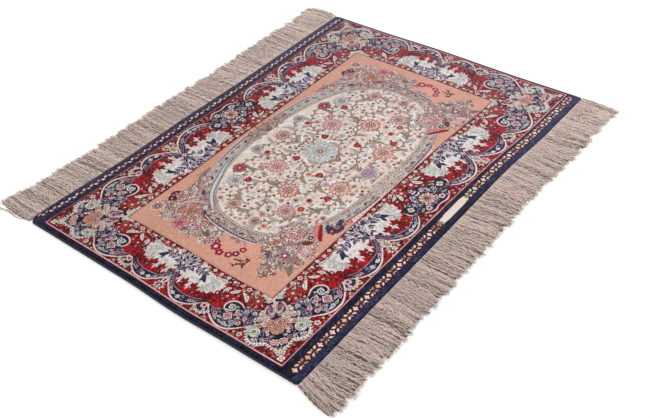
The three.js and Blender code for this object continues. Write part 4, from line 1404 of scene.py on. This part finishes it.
def yarn_tone_group():
    """Spun silk: its colour drifts slowly over the rug and streaks finely from fibre to fibre, and
    with painted sheen and shade it turns lighter, darker and hazy in small patches where the nap leans to the
    light."""
    if "Spun silk tone" in bpy.data.node_groups:
        return bpy.data.node_groups["Spun silk tone"]
    number = "NodeSocketFloat"
    tree, given, out = new_group(
        "Spun silk tone",
        (("Color", "NodeSocketColor"), ("Drift", number, 0.08), ("Streaks", number, 0.12),
         ("Streak Scale", number, 900.0), ("Haze", number, 0.0)),
        (("Color", "NodeSocketColor"), ("Height", number)))
    place = tree.add("ShaderNodeTexCoord").outputs["Object"]

    def noise(scale, detail):
        return tree.add("ShaderNodeTexNoise", {"Vector": place, "Scale": scale, "Detail": detail}).outputs

    def swing(level, middle, strength):
        return tree.times(tree.minus(level, middle), given[strength])

    slow, patch, fine = noise(9.0, 3.0), noise(NAP_SCALE, 3.0), noise(given["Streak Scale"], 2.0)[0]
    wear = tree.plus(swing(slow[0], 0.5, "Drift"), swing(fine, 0.5, "Streaks"))
    # painted shade and light: the nap patches darken and lighten the colour
    lean = tree.times(swing(patch[0], 0.5, "Haze"), PAINTED_NAP_SHADE)
    value = tree.plus(1.0, tree.plus(wear, lean))
    tinted = tree.add("ShaderNodeHueSaturation", {"Value": value, "Color": given["Color"]})
    # painted sheen: a pale cool or warm haze is mixed in over part of the patches
    painted_sheen_share = tree.math("MAXIMUM", swing(patch[0], PAINTED_SHEEN_START, "Haze"), 0.0)
    tint = tree.mix(patch[1], linear(PAINTED_SHEEN_COOL), linear(PAINTED_SHEEN_WARM))
    tree.tree.links.new(tree.mix(painted_sheen_share, tinted.outputs[0], tint), out["Color"])
    tree.tree.links.new(fine, out["Height"])
    return tree.tree


def new_material(name, sheen, roughness, specular=0.2):
    """A silk's shader: Principled with a fixed sheen, and its tree to build on."""
    material = bpy.data.materials.new(name)
    material.use_nodes = True
    tree = Tree(material.node_tree)
    shader = material.node_tree.nodes["Principled BSDF"]
    tree.feed(shader, {"Roughness": roughness, "Sheen Weight": sheen, "Sheen Roughness": 0.45,
                       "Specular IOR Level": specular})
    return material, tree, shader


def toned(tree, colour, drift, streaks, scale, haze=0.0):
    """The spun silk tone of a colour, with painted sheen in patches where that is asked for, and its fine
    height.
    """
    group = tree.add("ShaderNodeGroup", node_tree=yarn_tone_group())
    tree.feed(group, {"Color": colour, "Drift": drift, "Streaks": streaks, "Streak Scale": scale,
                      "Haze": haze})
    return group.outputs["Color"], group.outputs["Height"]


def face(tree, shader, colour, level, strength, distance):
    """Gives a shader its colour and a relief from a level, so many metres deep."""
    bump = tree.add("ShaderNodeBump", {"Height": level, "Strength": strength, "Distance": distance})
    tree.feed(shader, {"Base Color": colour, "Normal": bump.outputs[0]})


def knot_chart_group():
    """The chart as a shader reads it. Each face holds CELL rows of knots, a row as one whole
    number with five bits for each knot, and each corner its place in the face, from 0 to CELL.
    The row is picked by masks, and the knot by dividing by powers of 32 and a modulo."""
    tree, _, out = new_group("Knot chart", (), (("Yarn", "NodeSocketFloat"), ("Dome", "NodeSocketFloat")))
    place = tree.add("ShaderNodeSeparateXYZ", {0: tree.attribute("cell_place", "Vector")}).outputs
    column, row = (tree.math("MINIMUM", tree.math("FLOOR", tree.math("MAXIMUM", part, 0.0)), CELL - 1)
                   for part in place[:2])
    packed = 0.0
    for step in range(CELL):
        mask = tree.math("COMPARE", row, float(step), 0.1)
        packed = tree.plus(packed, tree.times(mask, tree.attribute(f"knots_{step}")))
    slots = float(YARN_SLOTS)
    shift = tree.math("ROUND", tree.math("POWER", slots, column))
    yarn = tree.math("MODULO", tree.math("FLOOR", tree.math("DIVIDE", packed, shift)), slots)
    tree.tree.links.new(tree.math("DIVIDE", tree.plus(yarn, 0.5), slots), out["Yarn"])
    sides = [tree.minus(tree.times(tree.math("FRACT", part), 2.0), 1.0)
             for part in place[:2]]
    squares = [tree.times(side, side) for side in sides]
    tree.tree.links.new(tree.minus(1.0, tree.math("MAXIMUM", *squares)), out["Dome"])
    return tree.tree


def pile_material(colours):
    """Knotted silk: the chart's yarn picks a colour in a stepped ramp, toned and worn a little,
    with painted sheen in patches, painted shade towards the back and the near side and a painted
    sheen towards the far side, and each knot stands as a low dome."""
    material, tree, shader = new_material("knotted silk", sheen=0.0, roughness=0.5, specular=0.05)
    chart = tree.add("ShaderNodeGroup", node_tree=knot_chart_group())
    ramp = tree.add("ShaderNodeValToRGB", {0: chart.outputs["Yarn"]})
    ramp.color_ramp.interpolation = "CONSTANT"
    for number, colour in enumerate(colours):
        stops = ramp.color_ramp.elements
        stop = stops[number] if number < 2 else stops.new(number / YARN_SLOTS)
        stop.position = number / YARN_SLOTS
        stop.color = (*colour, 1)
    colour, height = toned(tree, ramp.outputs[0], 0.3, 0.4, 1400.0, haze=0.8)
    # painted shade and sheen where the nap leans: the colour is darkened towards the back and the near side,
    # and a cool painted sheen is mixed in towards the far side
    place = tree.place()

    def across(part, low, high, first, last):
        shift = plan_shift()[part]
        return tree.add("ShaderNodeMapRange", {
            "Value": place[part], "From Min": low * MM + shift, "From Max": high * MM + shift,
            "To Min": first, "To Max": last}, interpolation_type="SMOOTHSTEP").outputs[0]

    lean = tree.times(across(1, -260, 300, 1.0, PAINTED_SHADE_AT_BACK),
                     across(0, -450, -250, PAINTED_SHADE_AT_NEAR, 1.0))
    with_painted_shade = tree.add("ShaderNodeHueSaturation", {"Value": lean, "Color": colour}).outputs[0]
    with_painted_sheen = tree.mix(across(0, -50, 450, 0.0, PAINTED_SHEEN_STRENGTH), with_painted_shade, linear(PAINTED_SHEEN_COLOUR))
    level = tree.plus(chart.outputs["Dome"], tree.times(height, 0.6))
    face(tree, shader, with_painted_sheen, level, 0.5, 0.0003)
    return material


def warp_material(dark, lit):
    """Undyed silk warps: each strand is mixed between a painted-shade colour and a lit one by its own
    value, which holds painted light and shade and a tone of its own, and its plies turn round it.
    """
    material, tree, shader = new_material("warp silk", sheen=0.2, roughness=0.62)
    colour, height = toned(tree, tree.mix(tree.attribute("strand_tone"), dark, lit), 0.25, 0.5, 420.0)
    turn = tree.add("ShaderNodeSeparateXYZ", {0: tree.attribute("strand_place", "Vector")}).outputs
    plies = tree.math("SINE", tree.plus(tree.times(turn[0], 3.2), turn[1]))
    level = tree.plus(tree.times(plies, 0.5), height)
    face(tree, shader, colour, level, 0.4, 0.0002)
    return material


def woven_material(colour):
    """The flat-woven end: weft ribs that run along it, crossed by the warps, with painted shade
    where their relief is low.
    """
    material, tree, shader = new_material("flat-woven silk", sheen=0.15, roughness=0.7)
    place = tree.place()
    across = tree.math("SINE", tree.times(place[0], 2 * math.pi / 0.0011))
    along = tree.math("SINE", tree.times(place[1], 2 * math.pi / 0.0008))
    level = tree.times(across, along)
    # painted shade: the colour is darker where the weave's relief is low and lighter where it is high
    dark = tree.math("MULTIPLY_ADD", level, 0.12, 0.82)
    colour, _ = toned(tree, colour, 0.1, 0.2, 900.0)
    weave = tree.add("ShaderNodeHueSaturation", {"Value": dark, "Color": colour}).outputs[0]
    face(tree, shader, weave, level, 0.6, 0.0003)
    return material


def overcast_material(colour):
    """The overcast yarn: dark silk whose turns lie side by side round the cord."""
    material, tree, shader = new_material("overcast silk", sheen=0.05, roughness=0.6)
    colour, height = toned(tree, colour, 0.3, 0.5, 1200.0)
    face(tree, shader, colour, height, 0.3, 0.0002)
    return material


# The pieces


def pile_arrays():
    """Points and faces of the pile. Top and underside are grids over u and v, one face for each
    cell of the chart. The top rises to its full height over the clipped edge, as a parabola, and
    a rim runs round the outline between them. Returns the points, corners, the cell that each
    face shows and each corner's place in its cell."""
    columns, rows = CELL_COLUMNS + 1, CELL_ROWS + 1
    base = columns * rows
    u, v = np.meshgrid(np.linspace(0, 1, columns), np.linspace(0, 1, rows))
    away = np.minimum(np.minimum(u, 1 - u) * (RUG_WIDTH - 2 * SELVEDGE_WIDTH),
                      np.minimum(v, 1 - v) * PILE_DEPTH)
    drop = PILE_EDGE_DROP * np.clip(1 - away / PILE_EDGE_REACH, 0, 1) ** 2
    x, y = pile_place(u, v, PILE_EDGE_ROUND)
    upper = np.stack([x, y, PILE_THICKNESS + unevenness(x, y) - drop], -1).reshape(-1, 3)
    lower = np.stack([*pile_place(u, v), 0 * u], -1).reshape(-1, 3)
    number = np.arange(base).reshape(rows, columns)
    top = np.stack([number[:-1, :-1], number[:-1, 1:], number[1:, 1:], number[1:, :-1]], -1).reshape(-1, 4)
    outline = np.concatenate([number[0, :-1], number[:-1, -1], number[-1, :0:-1], number[:0:-1, 0]])
    middle = lower[outline]
    middle[:, 2] = PILE_THICKNESS - PILE_EDGE_DROP - PILE_EDGE_ROUND
    rim = 2 * base + np.arange(len(outline))
    ahead, rim_ahead = np.roll(outline, -1), np.roll(rim, -1)
    faces = np.concatenate([top, top[:, ::-1] + base,
                            np.stack([outline + base, ahead + base, rim_ahead, rim], -1),
                            np.stack([rim, rim_ahead, ahead, outline], -1)])
    # the rim shows the outermost cells' knots
    row = np.minimum(np.minimum(outline, ahead) // columns, CELL_ROWS - 1)
    column = np.minimum(np.minimum(outline % columns, ahead % columns), CELL_COLUMNS - 1)
    cell, edge_cell = np.arange(CELL_ROWS * CELL_COLUMNS), row * CELL_COLUMNS + column
    corner = np.array([(0, 0), (CELL, 0), (CELL, CELL), (0, CELL)], float)
    places = np.zeros((len(faces), 4, 3))
    places[:len(top), :, :2] = corner
    places[len(top):2 * len(top), :, :2] = corner[::-1]
    places[2 * len(top):] = [(along, 0.5, 0) for along in (0, CELL, CELL, 0)]
    return (np.concatenate([upper, lower, middle]), faces,
            np.concatenate([cell, cell, edge_cell, edge_cell]), places)


def knot_rug(colours):
    points, faces, cells, places = pile_arrays()
    piece = new_mesh_piece("silk_pile", points, faces.ravel(), np.full(len(faces), 4),
                           pile_material(colours))
    columns, rows = CELL * CELL_COLUMNS, CELL * CELL_ROWS
    x = -HALF_WIDTH + PILE_INSET + (RUG_WIDTH - 2 * PILE_INSET) * (np.arange(columns) + 0.5) / columns
    y = -HALF_DEPTH + PILE_DEPTH * (np.arange(rows) + 0.5) / rows
    chart = draw_chart(*np.meshgrid(x, y))
    knots = chart.reshape(CELL_ROWS, CELL, CELL_COLUMNS, CELL).transpose(0, 2, 1, 3)
    packed = (knots.astype(np.int64) * YARN_SLOTS ** np.arange(CELL)).sum(-1).reshape(-1, CELL)
    for step in range(CELL):
        set_attribute(piece, f"knots_{step}", "FLOAT", "FACE", packed[cells, step])
    set_attribute(piece, "cell_place", "FLOAT_VECTOR", "CORNER", places)
    return piece


def end_share(x, end):
    return np.clip(1 - (HALF_WIDTH - OUTWARD[end] * x) / END_REACH, 0, 1) ** 1.5


def flow_x(side, x, t):
    """Sideways place of a lock at a share t of its length: a drift that neighbours share, and
    the spreading at the fringe's ends."""
    total = x.copy()
    for end in ("near", "far"):
        middle, tip, _ = FRINGE_ENDS[side, end]
        total += OUTWARD[end] * end_share(x, end) * (middle * 4 * t * (1 - t) + tip * t * (2 * t - 1))
    drift = FLOW_SWAY * t * np.sin(x / 57 + (0.5 if side == "front" else 2.2) + 1.1 * t)
    return total + drift * (1 - np.maximum(end_share(x, "near"), end_share(x, "far")))


def ring_faces(count, stations, sides, flip=False):
    """Corners and sizes of the faces of closed tubes whose points are numbered by tube, station
    and side: a quad between each two neighbours, and a flat cap at each end."""
    number = np.arange(count * stations * sides).reshape(count, stations, sides)
    a, d = number[:, :-1], number[:, 1:]
    quads = np.stack([a, np.roll(a, -1, 2), np.roll(d, -1, 2), d], -1).reshape(-1, 4)
    caps = np.concatenate([number[:, 0, ::-1], number[:, -1]])
    if flip:
        quads, caps = quads[:, ::-1], caps[:, ::-1]
    return np.concatenate([quads.ravel(), caps.ravel()]), np.repeat((4, sides), (len(quads), len(caps)))


def tubes(paths, radius, sides=3):
    """Closed tubes along many paths: rings of a few points, square to each path, in a frame that
    keeps its side level, with flat caps. paths is (tube, station, 3), radius (tube, station)."""
    count, stations, _ = paths.shape
    along = np.gradient(paths, axis=1)
    along /= np.linalg.norm(along, axis=2, keepdims=True)
    level = np.cross(along, (0, 0, 1.0))
    level /= np.maximum(np.linalg.norm(level, axis=2, keepdims=True), 1e-9)
    upright = np.cross(level, along)
    turn = 2 * np.pi * np.arange(sides) / sides + np.pi / 2
    ring = (level[:, :, None] * np.cos(turn)[:, None] + upright[:, :, None] * np.sin(turn)[:, None])
    points = paths[:, :, None] + ring * radius[:, :, None, None]
    return points.reshape(-1, 3), *ring_faces(count, stations, sides)


ROOT_START = 0.9               # mm from the pile where the cords come out of the flat-woven end
STRIP_VISIBLE = 1.35           # mm, height of the woven ground under them
LOWEST = 0.72                  # mm from the floor to the middle of the cords that lie lowest
FRINGE_PAINTED_LIGHT = {"front": 0.80, "back": 0.72}    # painted light of the free cords on each side, from painted shade 0 to lit 1
FRINGE_SEED = {"front": 7, "back": 8}          # for the chances of the free cords
GATHER = {"front": 0.16, "back": 0.26}         # share of the way that cords draw to their lock
SHORT_SHARE = 0.16             # share of the cords that end early
STRAY_SHARE = 0.14             # share of the cords that cross their neighbours
STRAY_REACH = 7.0              # mm, how far they stray
WANDER = 2.2                   # mm that any cord wanders, and that its end hooks
CLOSED_ROOTS = 0.035           # how much closer the cords stand at the fringe's ends
PAINTED_SHADOW_SHARE = 0.06              # share of the cords painted dark, as painted shadow between the others
LOWER_CORD_RADIUS = 1.35


def locks_at(root):
    """The lock that each cord belongs to and the lock's middle: locks of uneven width, a steady
    pitch shifted by two sines."""
    pitch = (RUG_WIDTH - 6) / (LOCKS_PER_SIDE - 1)
    shifted = root + 2.4 * np.sin(root / 8.3) + 1.3 * np.sin(root / 3.1 + 1)
    lock = np.round((shifted + HALF_WIDTH) / pitch).astype(int)
    lock -= lock.min()
    middle = np.bincount(lock.ravel(), root.ravel()) / np.maximum(np.bincount(lock.ravel()), 1)
    return lock, middle[lock]


def fringe_reach(side, root, lock):
    """Length of a fringe from each root: longer at its ends, and uneven from lock to lock."""
    longer = sum(end_share(root, end) * FRINGE_ENDS[side, end][2] for end in ("near", "far"))
    return FRINGE_LENGTH[side] + longer + 0.9 * FRINGE_RAGGED * steady(lock, 1)


def strand_paths(side, settings):
    """Centre lines of a fringe's free cords, in two layers. A cord starts in the flat-woven end,
    gathers a little towards its lock's middle, keeps the crimp of the weave, wanders with its lock
    and on its own, crosses its neighbours, and ends ragged. Returns the lines, the locks and the
    layers, 1 or 2."""
    draw = np.random.default_rng(FRINGE_SEED[side])
    count = settings.strands
    t = np.linspace(0, 1, settings.stations)[None, :]

    def chance(low, high):
        return draw.uniform(low, high, (count, 1))

    def wave(short, long):
        return np.sin(2 * np.pi * (reach / chance(short, long) + chance(0, 1)))

    layer = 1.0 + (np.arange(count) % 2)[:, None]
    even = np.linspace(-1, 1, count)[:, None]
    even += CLOSED_ROOTS * (even - even ** 9)
    root = (HALF_WIDTH - 1.4) * even + chance(-0.5, 0.5)
    root = np.clip(root, -HALF_WIDTH + 1, HALF_WIDTH - 1)
    lock, lock_root = locks_at(root)
    ease = t * t * (3 - 2 * t)
    short = np.where(chance(0, 1) < SHORT_SHARE, chance(3, 18), 0)
    reach = t * (fringe_reach(side, root, lock) - ROOT_START + chance(-5, 2) - short)
    gather = GATHER[side] + 0.16 * steady(lock, 3)
    offset = (root - lock_root) * (1 - gather * ease * (1 + 0.5 * np.sin(7 * t + 3 * steady(lock, 10))))
    grown = np.minimum(1, t * 5)
    crimp = chance(0.4, 1.6) * wave(11, 24)
    crimp += chance(0.2, 0.8) * wave(7, 11)
    sway = t * (1.1 + 0.5 * steady(lock, 2)) + steady(lock, 6)
    shared = 1.2 * steady(lock, 5) * ease + 0.9 * grown * np.sin(2 * np.pi * sway)
    wander = draw.normal(0, WANDER, (count, 1)) * t ** 1.4 + chance(-1.6, 1.6) * np.sin(np.pi * t)
    stray = np.where(chance(0, 1) < STRAY_SHARE, draw.normal(0, STRAY_REACH, (count, 1)), 0) * ease
    hook = draw.normal(0, WANDER, (count, 1)) * np.clip((t - 0.75) / 0.25, 0, 1) ** 2
    x = flow_x(side, lock_root + 0 * t, t) + offset + shared + crimp * grown + wander + stray + hook
    y = edge(side, root) + OUTWARD[side] * (ROOT_START + reach - 0.5 * np.abs(stray) * t)
    rise = np.minimum(1, t * 9)
    z = LOWEST + layer * (0.85 + 0.15 * steady(lock, 8)) * (1 - 0.5 * t ** 3)
    z += 0.16 * layer * wave(12, 20) * rise + (1.3 - 0.5 * layer) * (1 - rise)
    return np.stack([x, y, np.maximum(z, 0.62)], -1), lock, layer


def under_paths(side, count=440, stations=10):
    """Centre lines of the cords that lie lowest: straight but for the fringe's own flow and a slow
    wave, so close that they shut the floor out between the locks."""
    draw = np.random.default_rng(FRINGE_SEED[side] + 10)
    t = np.linspace(0, 1, stations)[None, :]
    root = np.linspace(-HALF_WIDTH + 1.5, HALF_WIDTH - 1.5, count)[:, None]
    length = fringe_reach(side, root, locks_at(root)[0]) - 5 - draw.uniform(0, 4, (count, 1))
    x = flow_x(side, root + 0 * t, t) + 0.5 * np.sin(2 * np.pi * t + root / 9) * np.minimum(1, t * 5)
    y = edge(side, root) + OUTWARD[side] * (ROOT_START + t * length)
    return np.stack([x, y, LOWEST + 0.06 + 0 * x], -1)


def cord_piece(name, side, material, paths, radius, tone, flat=1.0):
    """A piece of round or flattened cords along paths, each with its painted light and tone, from
    painted shade 0 to lit 1.
    """
    points, loops, sizes = tubes(paths, radius)
    points[:, 2] = LOWEST + (points[:, 2] - LOWEST) * flat
    piece = new_mesh_piece(name, points, loops, sizes, material)
    count, stations = paths.shape[:2]
    set_attribute(piece, "strand_tone", "FLOAT", "POINT",
                  np.repeat(np.clip(tone, 0, 1), stations * 3, axis=0))
    run = np.cumsum(np.linalg.norm(np.diff(paths, axis=1), axis=2), axis=1)
    place = np.zeros((count, stations, 3, 3))
    place[:, 1:, :, 0] = run[..., None]
    place[..., 1] = 2 * np.pi * np.arange(3) / 3
    set_attribute(piece, "strand_place", "FLOAT_VECTOR", "POINT", place)
    shade_smooth(piece)
    settle(piece, f"fringe_{side}")


def lay_fringe(side, settings, material):
    paths, lock, layer = strand_paths(side, settings)
    t = np.linspace(0, 1, settings.stations)[None, :]
    number = np.arange(len(paths))[:, None]
    radius = (settings.thickness / 2 * (1 + 0.2 * steady(number, 9))
              * (1 - 0.45 * np.clip((t - 0.9) / 0.1, 0, 1) ** 1.6))
    # painted light and shade: each side has its own painted light, the lower layer is painted darker than the
    # upper, and each cord and lock adds a random tone of its own
    tone = FRINGE_PAINTED_LIGHT[side] + 0.32 * (layer - 1.5) + 0.30 * steady(number, 4) + 0.10 * steady(lock, 7)
    # a few cords are painted dark, as painted shadow between the others
    tone = np.where(steady(number, 12) > 1 - 2 * PAINTED_SHADOW_SHARE, 0.1, tone)
    cord_piece(f"warp_fringe_{side}", side, material, paths, radius, tone)
    paths = under_paths(side)
    # painted shade: the lowest cords are painted nearly as dark as the shaded warps' colour
    tone = 0.06 + 0.06 * steady(np.arange(len(paths))[:, None], 4)
    cord_piece(f"lower_warps_{side}", side, material, paths, np.full(paths.shape[:2], LOWER_CORD_RADIUS),
               tone, 0.45)


def lay_loose_warp(material):
    """The loose warp: a round strand along its path, resting on the floor."""
    path = smooth(LOOSE_WARP, steps=12)
    radius = 0.55
    path = np.column_stack([path, np.full(len(path), radius)])[None]
    points, loops, sizes = tubes(path, np.full(path.shape[:2], radius), sides=8)
    piece = new_mesh_piece("loose_warp", points, loops, sizes, material)
    # its colour a quarter of the way from the shaded warps' colour to the lit one
    set_attribute(piece, "strand_tone", "FLOAT", "POINT", np.full(len(points), 0.25))
    shade_smooth(piece)
    settle(piece, "fringe_back")


def weave_end(side, material):
    """The flat-woven end: a low crowned strip between the pile and the free warps, its outer
    edge uneven. Rings of a rounded section are carried along the pile's edge."""
    x = np.linspace(-HALF_WIDTH + 1, HALF_WIDTH - 1, 900)[:, None]
    section = np.array([(0.0, 0.0), (0.0, 0.85), (0.25, 1.0), (0.7, 0.92), (1.0, 0.55), (1.0, 0.0)])
    ragged = 0.5 * np.sin(x / 2.1) * np.sin(x / 7.7 + 1) + 0.3 * np.sin(x / 1.3)
    y = edge(side, x) + OUTWARD[side] * (0.05 + section[:, 0] * (STRIP_WIDTH * 0.8 + ragged))
    points = np.stack([x + 0 * y, y, STRIP_VISIBLE * section[:, 1] + 0 * y], -1)
    piece = new_mesh_piece(f"flat_woven_{side}", points.reshape(-1, 3),
                           *ring_faces(1, *points.shape[:2], flip=side == "back"), material)
    settle(piece, f"fringe_{side}")


def wind_selvedge(side, turn_pitch, material):
    """The overcast cord: a tube along the pile's edge whose radius swells once for each turn of
    yarn, the turns slanting round it."""
    turns = int(PILE_DEPTH / turn_pitch)
    v = np.linspace(0, 1, turns * 4 + 1)[:, None]
    x, y = pile_place(np.full_like(v, 0.0 if side == "near" else 1.0), v)
    sides = 12
    angle = 2 * np.pi * np.arange(sides) / sides
    swell = 1 + 0.07 * np.cos(2 * np.pi * turns * v + angle)
    wide, high = SELVEDGE_WIDTH / 2, SELVEDGE_HEIGHT / 2
    middle = x + OUTWARD[side] * (GAP + wide - 0.15)
    points = np.stack([middle + wide * swell * np.cos(angle), y + 0 * angle,
                       np.maximum(high + high * swell * np.sin(angle), 0)], -1)
    piece = new_mesh_piece(f"overcast_{side}", points.reshape(-1, 3),
                           *ring_faces(1, len(v), sides, flip=True), material)
    shade_smooth(piece)
    settle(piece, f"selvedge_{side}")


def plan_to_part(place):
    return Vector((np.asarray(place, float) * MM + plan_shift()).tolist())


def make_camera():
    """The photograph's view: from azimuth, tilt and roll in the plan's frame."""
    azimuth, down, roll = (math.radians(a) for a in (CAMERA_AZIMUTH, CAMERA_DOWN, CAMERA_ROLL))
    forward = Vector((math.sin(azimuth) * math.cos(down), math.cos(azimuth) * math.cos(down),
                      -math.sin(down)))
    level = Vector((math.cos(azimuth), -math.sin(azimuth), 0))
    upward = level.cross(forward)
    right = level * math.cos(roll) + upward * math.sin(roll)
    up = upward * math.cos(roll) - level * math.sin(roll)
    data = bpy.data.cameras.new("camera")
    data.sensor_width = SENSOR_WIDTH
    data.lens = FOCAL_PIXELS * SENSOR_WIDTH / PICTURE_WIDTH
    camera = add_object("camera", data)
    turn = Matrix((right, up, -forward)).transposed().to_4x4()
    camera.matrix_world = Matrix.Translation(plan_to_part(CAMERA_PLACE)) @ turn
    bpy.context.scene.camera = camera


def add_softbox(name, place, aim, size, power):
    data = bpy.data.lights.new(name, "AREA")
    data.size = size
    data.energy = power
    lamp = add_object(name, data)
    lamp.location = place
    lamp.rotation_euler = (Vector(aim) - Vector(place)).to_track_quat("-Z", "Y").to_euler()


def set_studio(settings):
    """A pale floor, an even white surrounding, one large softbox above the back and another beyond the far
    side.
    """
    size = 6.0
    mesh = bpy.data.meshes.new("floor")
    low = -0.0002
    mesh.from_pydata([(-size, -size, low), (size, -size, low), (size, size, low), (-size, size, low)],
                     [], [(0, 1, 2, 3)])
    material, tree, shader = new_material("pale floor", sheen=0.0, roughness=0.9, specular=0.1)
    tree.feed(shader, {"Base Color": settings.floor})
    mesh.materials.append(material)
    add_object("floor", mesh)
    world = bpy.data.worlds.new("studio")
    world.use_nodes = True
    Tree(world.node_tree).feed(world.node_tree.nodes["Background"],
                               {"Color": (1, 1, 1), "Strength": settings.surround})
    bpy.context.scene.world = world
    add_softbox("key_softbox", (-0.9, 1.3, 2.2), (0, 0, 0), 1.6, settings.softbox)
    add_softbox("far_softbox", (2.5, 1.2, 1.3), (0.2, 0, 0), 1.8, settings.far_softbox)
    bpy.context.scene.view_settings.view_transform = "Standard"


# Settings that a user would change


def colour_property(name, colour):
    return FloatVectorProperty(name=name, description=f"Colour of the {name.lower()}",
                               subtype="COLOR", size=3, min=0, max=1, default=linear(colour))


class YarnColours(bpy.types.PropertyGroup):
    """One colour for each yarn of the pile"""

    __annotations__ = {name: colour_property(f"{name} yarn".capitalize(), colour)
                       for name, colour in YARNS.items()}


def number_property(kind, name, default, low, high, text):
    return kind(name=name, description=text, default=default, min=low, max=high)


class FringeSettings(bpy.types.PropertyGroup):
    strands: number_property(IntProperty, "Strands", 1240, 100, 1250, "Strands in each fringe")
    stations: number_property(IntProperty, "Stations", 27, 6, 27, "Points along each strand")
    thickness: number_property(FloatProperty, "Strand thickness", 1.05, 0.2, 2.0, "In millimetres")
    # the lit colour and the painted-shade colour of the warps, mixed by each cord's painted light and tone
    colour: colour_property("Lit warps", (0.95, 0.87, 0.83))
    shade: colour_property("Painted shade of warps", (0.38, 0.295, 0.255))
    woven: colour_property("Flat-woven ends", (0.80, 0.745, 0.67))


class SelvedgeSettings(bpy.types.PropertyGroup):
    turn_pitch: number_property(FloatProperty, "Turn pitch", 1.3, 0.5, 4.0,
                                "Millimetres from one turn of yarn to the next")
    colour: colour_property("Overcast yarn", (0.13, 0.13, 0.20))


class StudioSettings(bpy.types.PropertyGroup):
    floor: colour_property("Floor", (0.97, 0.97, 0.97))
    surround: number_property(FloatProperty, "Surround", 0.95, 0, 5, "Strength of the even white light")
    softbox: number_property(FloatProperty, "Softbox", 12.0, 0, 500,
                             "Watts of the softbox above the back")
    far_softbox: number_property(FloatProperty, "Far softbox", 25.0, 0, 500,
                                 "Watts of the one beyond the far side")


# Operators


class RUG_OT_knot_pile(bpy.types.Operator):
    """Knot the pile from its chart"""

    bl_idname = "rug.knot_pile"
    bl_label = "Knot Pile"

    def execute(self, context):
        colours = [tuple(getattr(context.scene.rug_yarns, name)) for name in YARNS]
        piece = knot_rug(colours)
        settle(piece, "rug_pile")
        return {"FINISHED"}


class RUG_OT_wind_selvedges(bpy.types.Operator):
    """Wind the overcast cord along each selvedge"""

    bl_idname = "rug.wind_selvedges"
    bl_label = "Wind Selvedges"

    def execute(self, context):
        settings = context.scene.rug_selvedge
        material = overcast_material(settings.colour)
        for side in ("near", "far"):
            wind_selvedge(side, settings.turn_pitch, material)
        return {"FINISHED"}


class RUG_OT_lay_fringes(bpy.types.Operator):
    """Weave the flat ends and lay the free warps of both fringes"""

    bl_idname = "rug.lay_fringes"
    bl_label = "Lay Fringes"

    def execute(self, context):
        settings = context.scene.rug_fringe
        woven, warps = woven_material(settings.woven), warp_material(settings.shade, settings.colour)
        for side in ("front", "back"):
            weave_end(side, woven)
            lay_fringe(side, settings, warps)
        lay_loose_warp(warps)
        return {"FINISHED"}


class RUG_OT_set_studio(bpy.types.Operator):
    """Set the floor, the lights and the camera"""

    bl_idname = "rug.set_studio"
    bl_label = "Set Studio"

    def execute(self, context):
        set_studio(context.scene.rug_studio)
        make_camera()
        return {"FINISHED"}


class RUG_PT_panel(bpy.types.Panel):
    """The rug's settings and its steps"""

    bl_idname = "RUG_PT_panel"
    bl_label = "Knotted Silk Rug"
    bl_space_type = "VIEW_3D"
    bl_region_type = "UI"
    bl_category = "Rug"

    def draw(self, context):
        for operator in OPERATORS:
            self.layout.operator(operator.bl_idname)
        for group in (context.scene.rug_fringe, context.scene.rug_selvedge,
                      context.scene.rug_studio, context.scene.rug_yarns):
            for name in group.__annotations__:
                self.layout.prop(group, name)


OPERATORS = (RUG_OT_set_studio, RUG_OT_knot_pile, RUG_OT_wind_selvedges, RUG_OT_lay_fringes)
GROUPS = {"rug_yarns": YarnColours, "rug_fringe": FringeSettings,
          "rug_selvedge": SelvedgeSettings, "rug_studio": StudioSettings}


def register():
    for cls in (*GROUPS.values(), *OPERATORS, RUG_PT_panel):
        bpy.utils.register_class(cls)
    for name, cls in GROUPS.items():
        setattr(bpy.types.Scene, name, PointerProperty(type=cls))


def unregister():
    for name in GROUPS:
        delattr(bpy.types.Scene, name)
    for cls in reversed((*GROUPS.values(), *OPERATORS, RUG_PT_panel)):
        bpy.utils.unregister_class(cls)


def main():
    register()
    bpy.ops.rug.set_studio()
    bpy.ops.rug.knot_pile()
    bpy.ops.rug.wind_selvedges()
    bpy.ops.rug.lay_fringes()


if __name__ == "__main__":
    main()
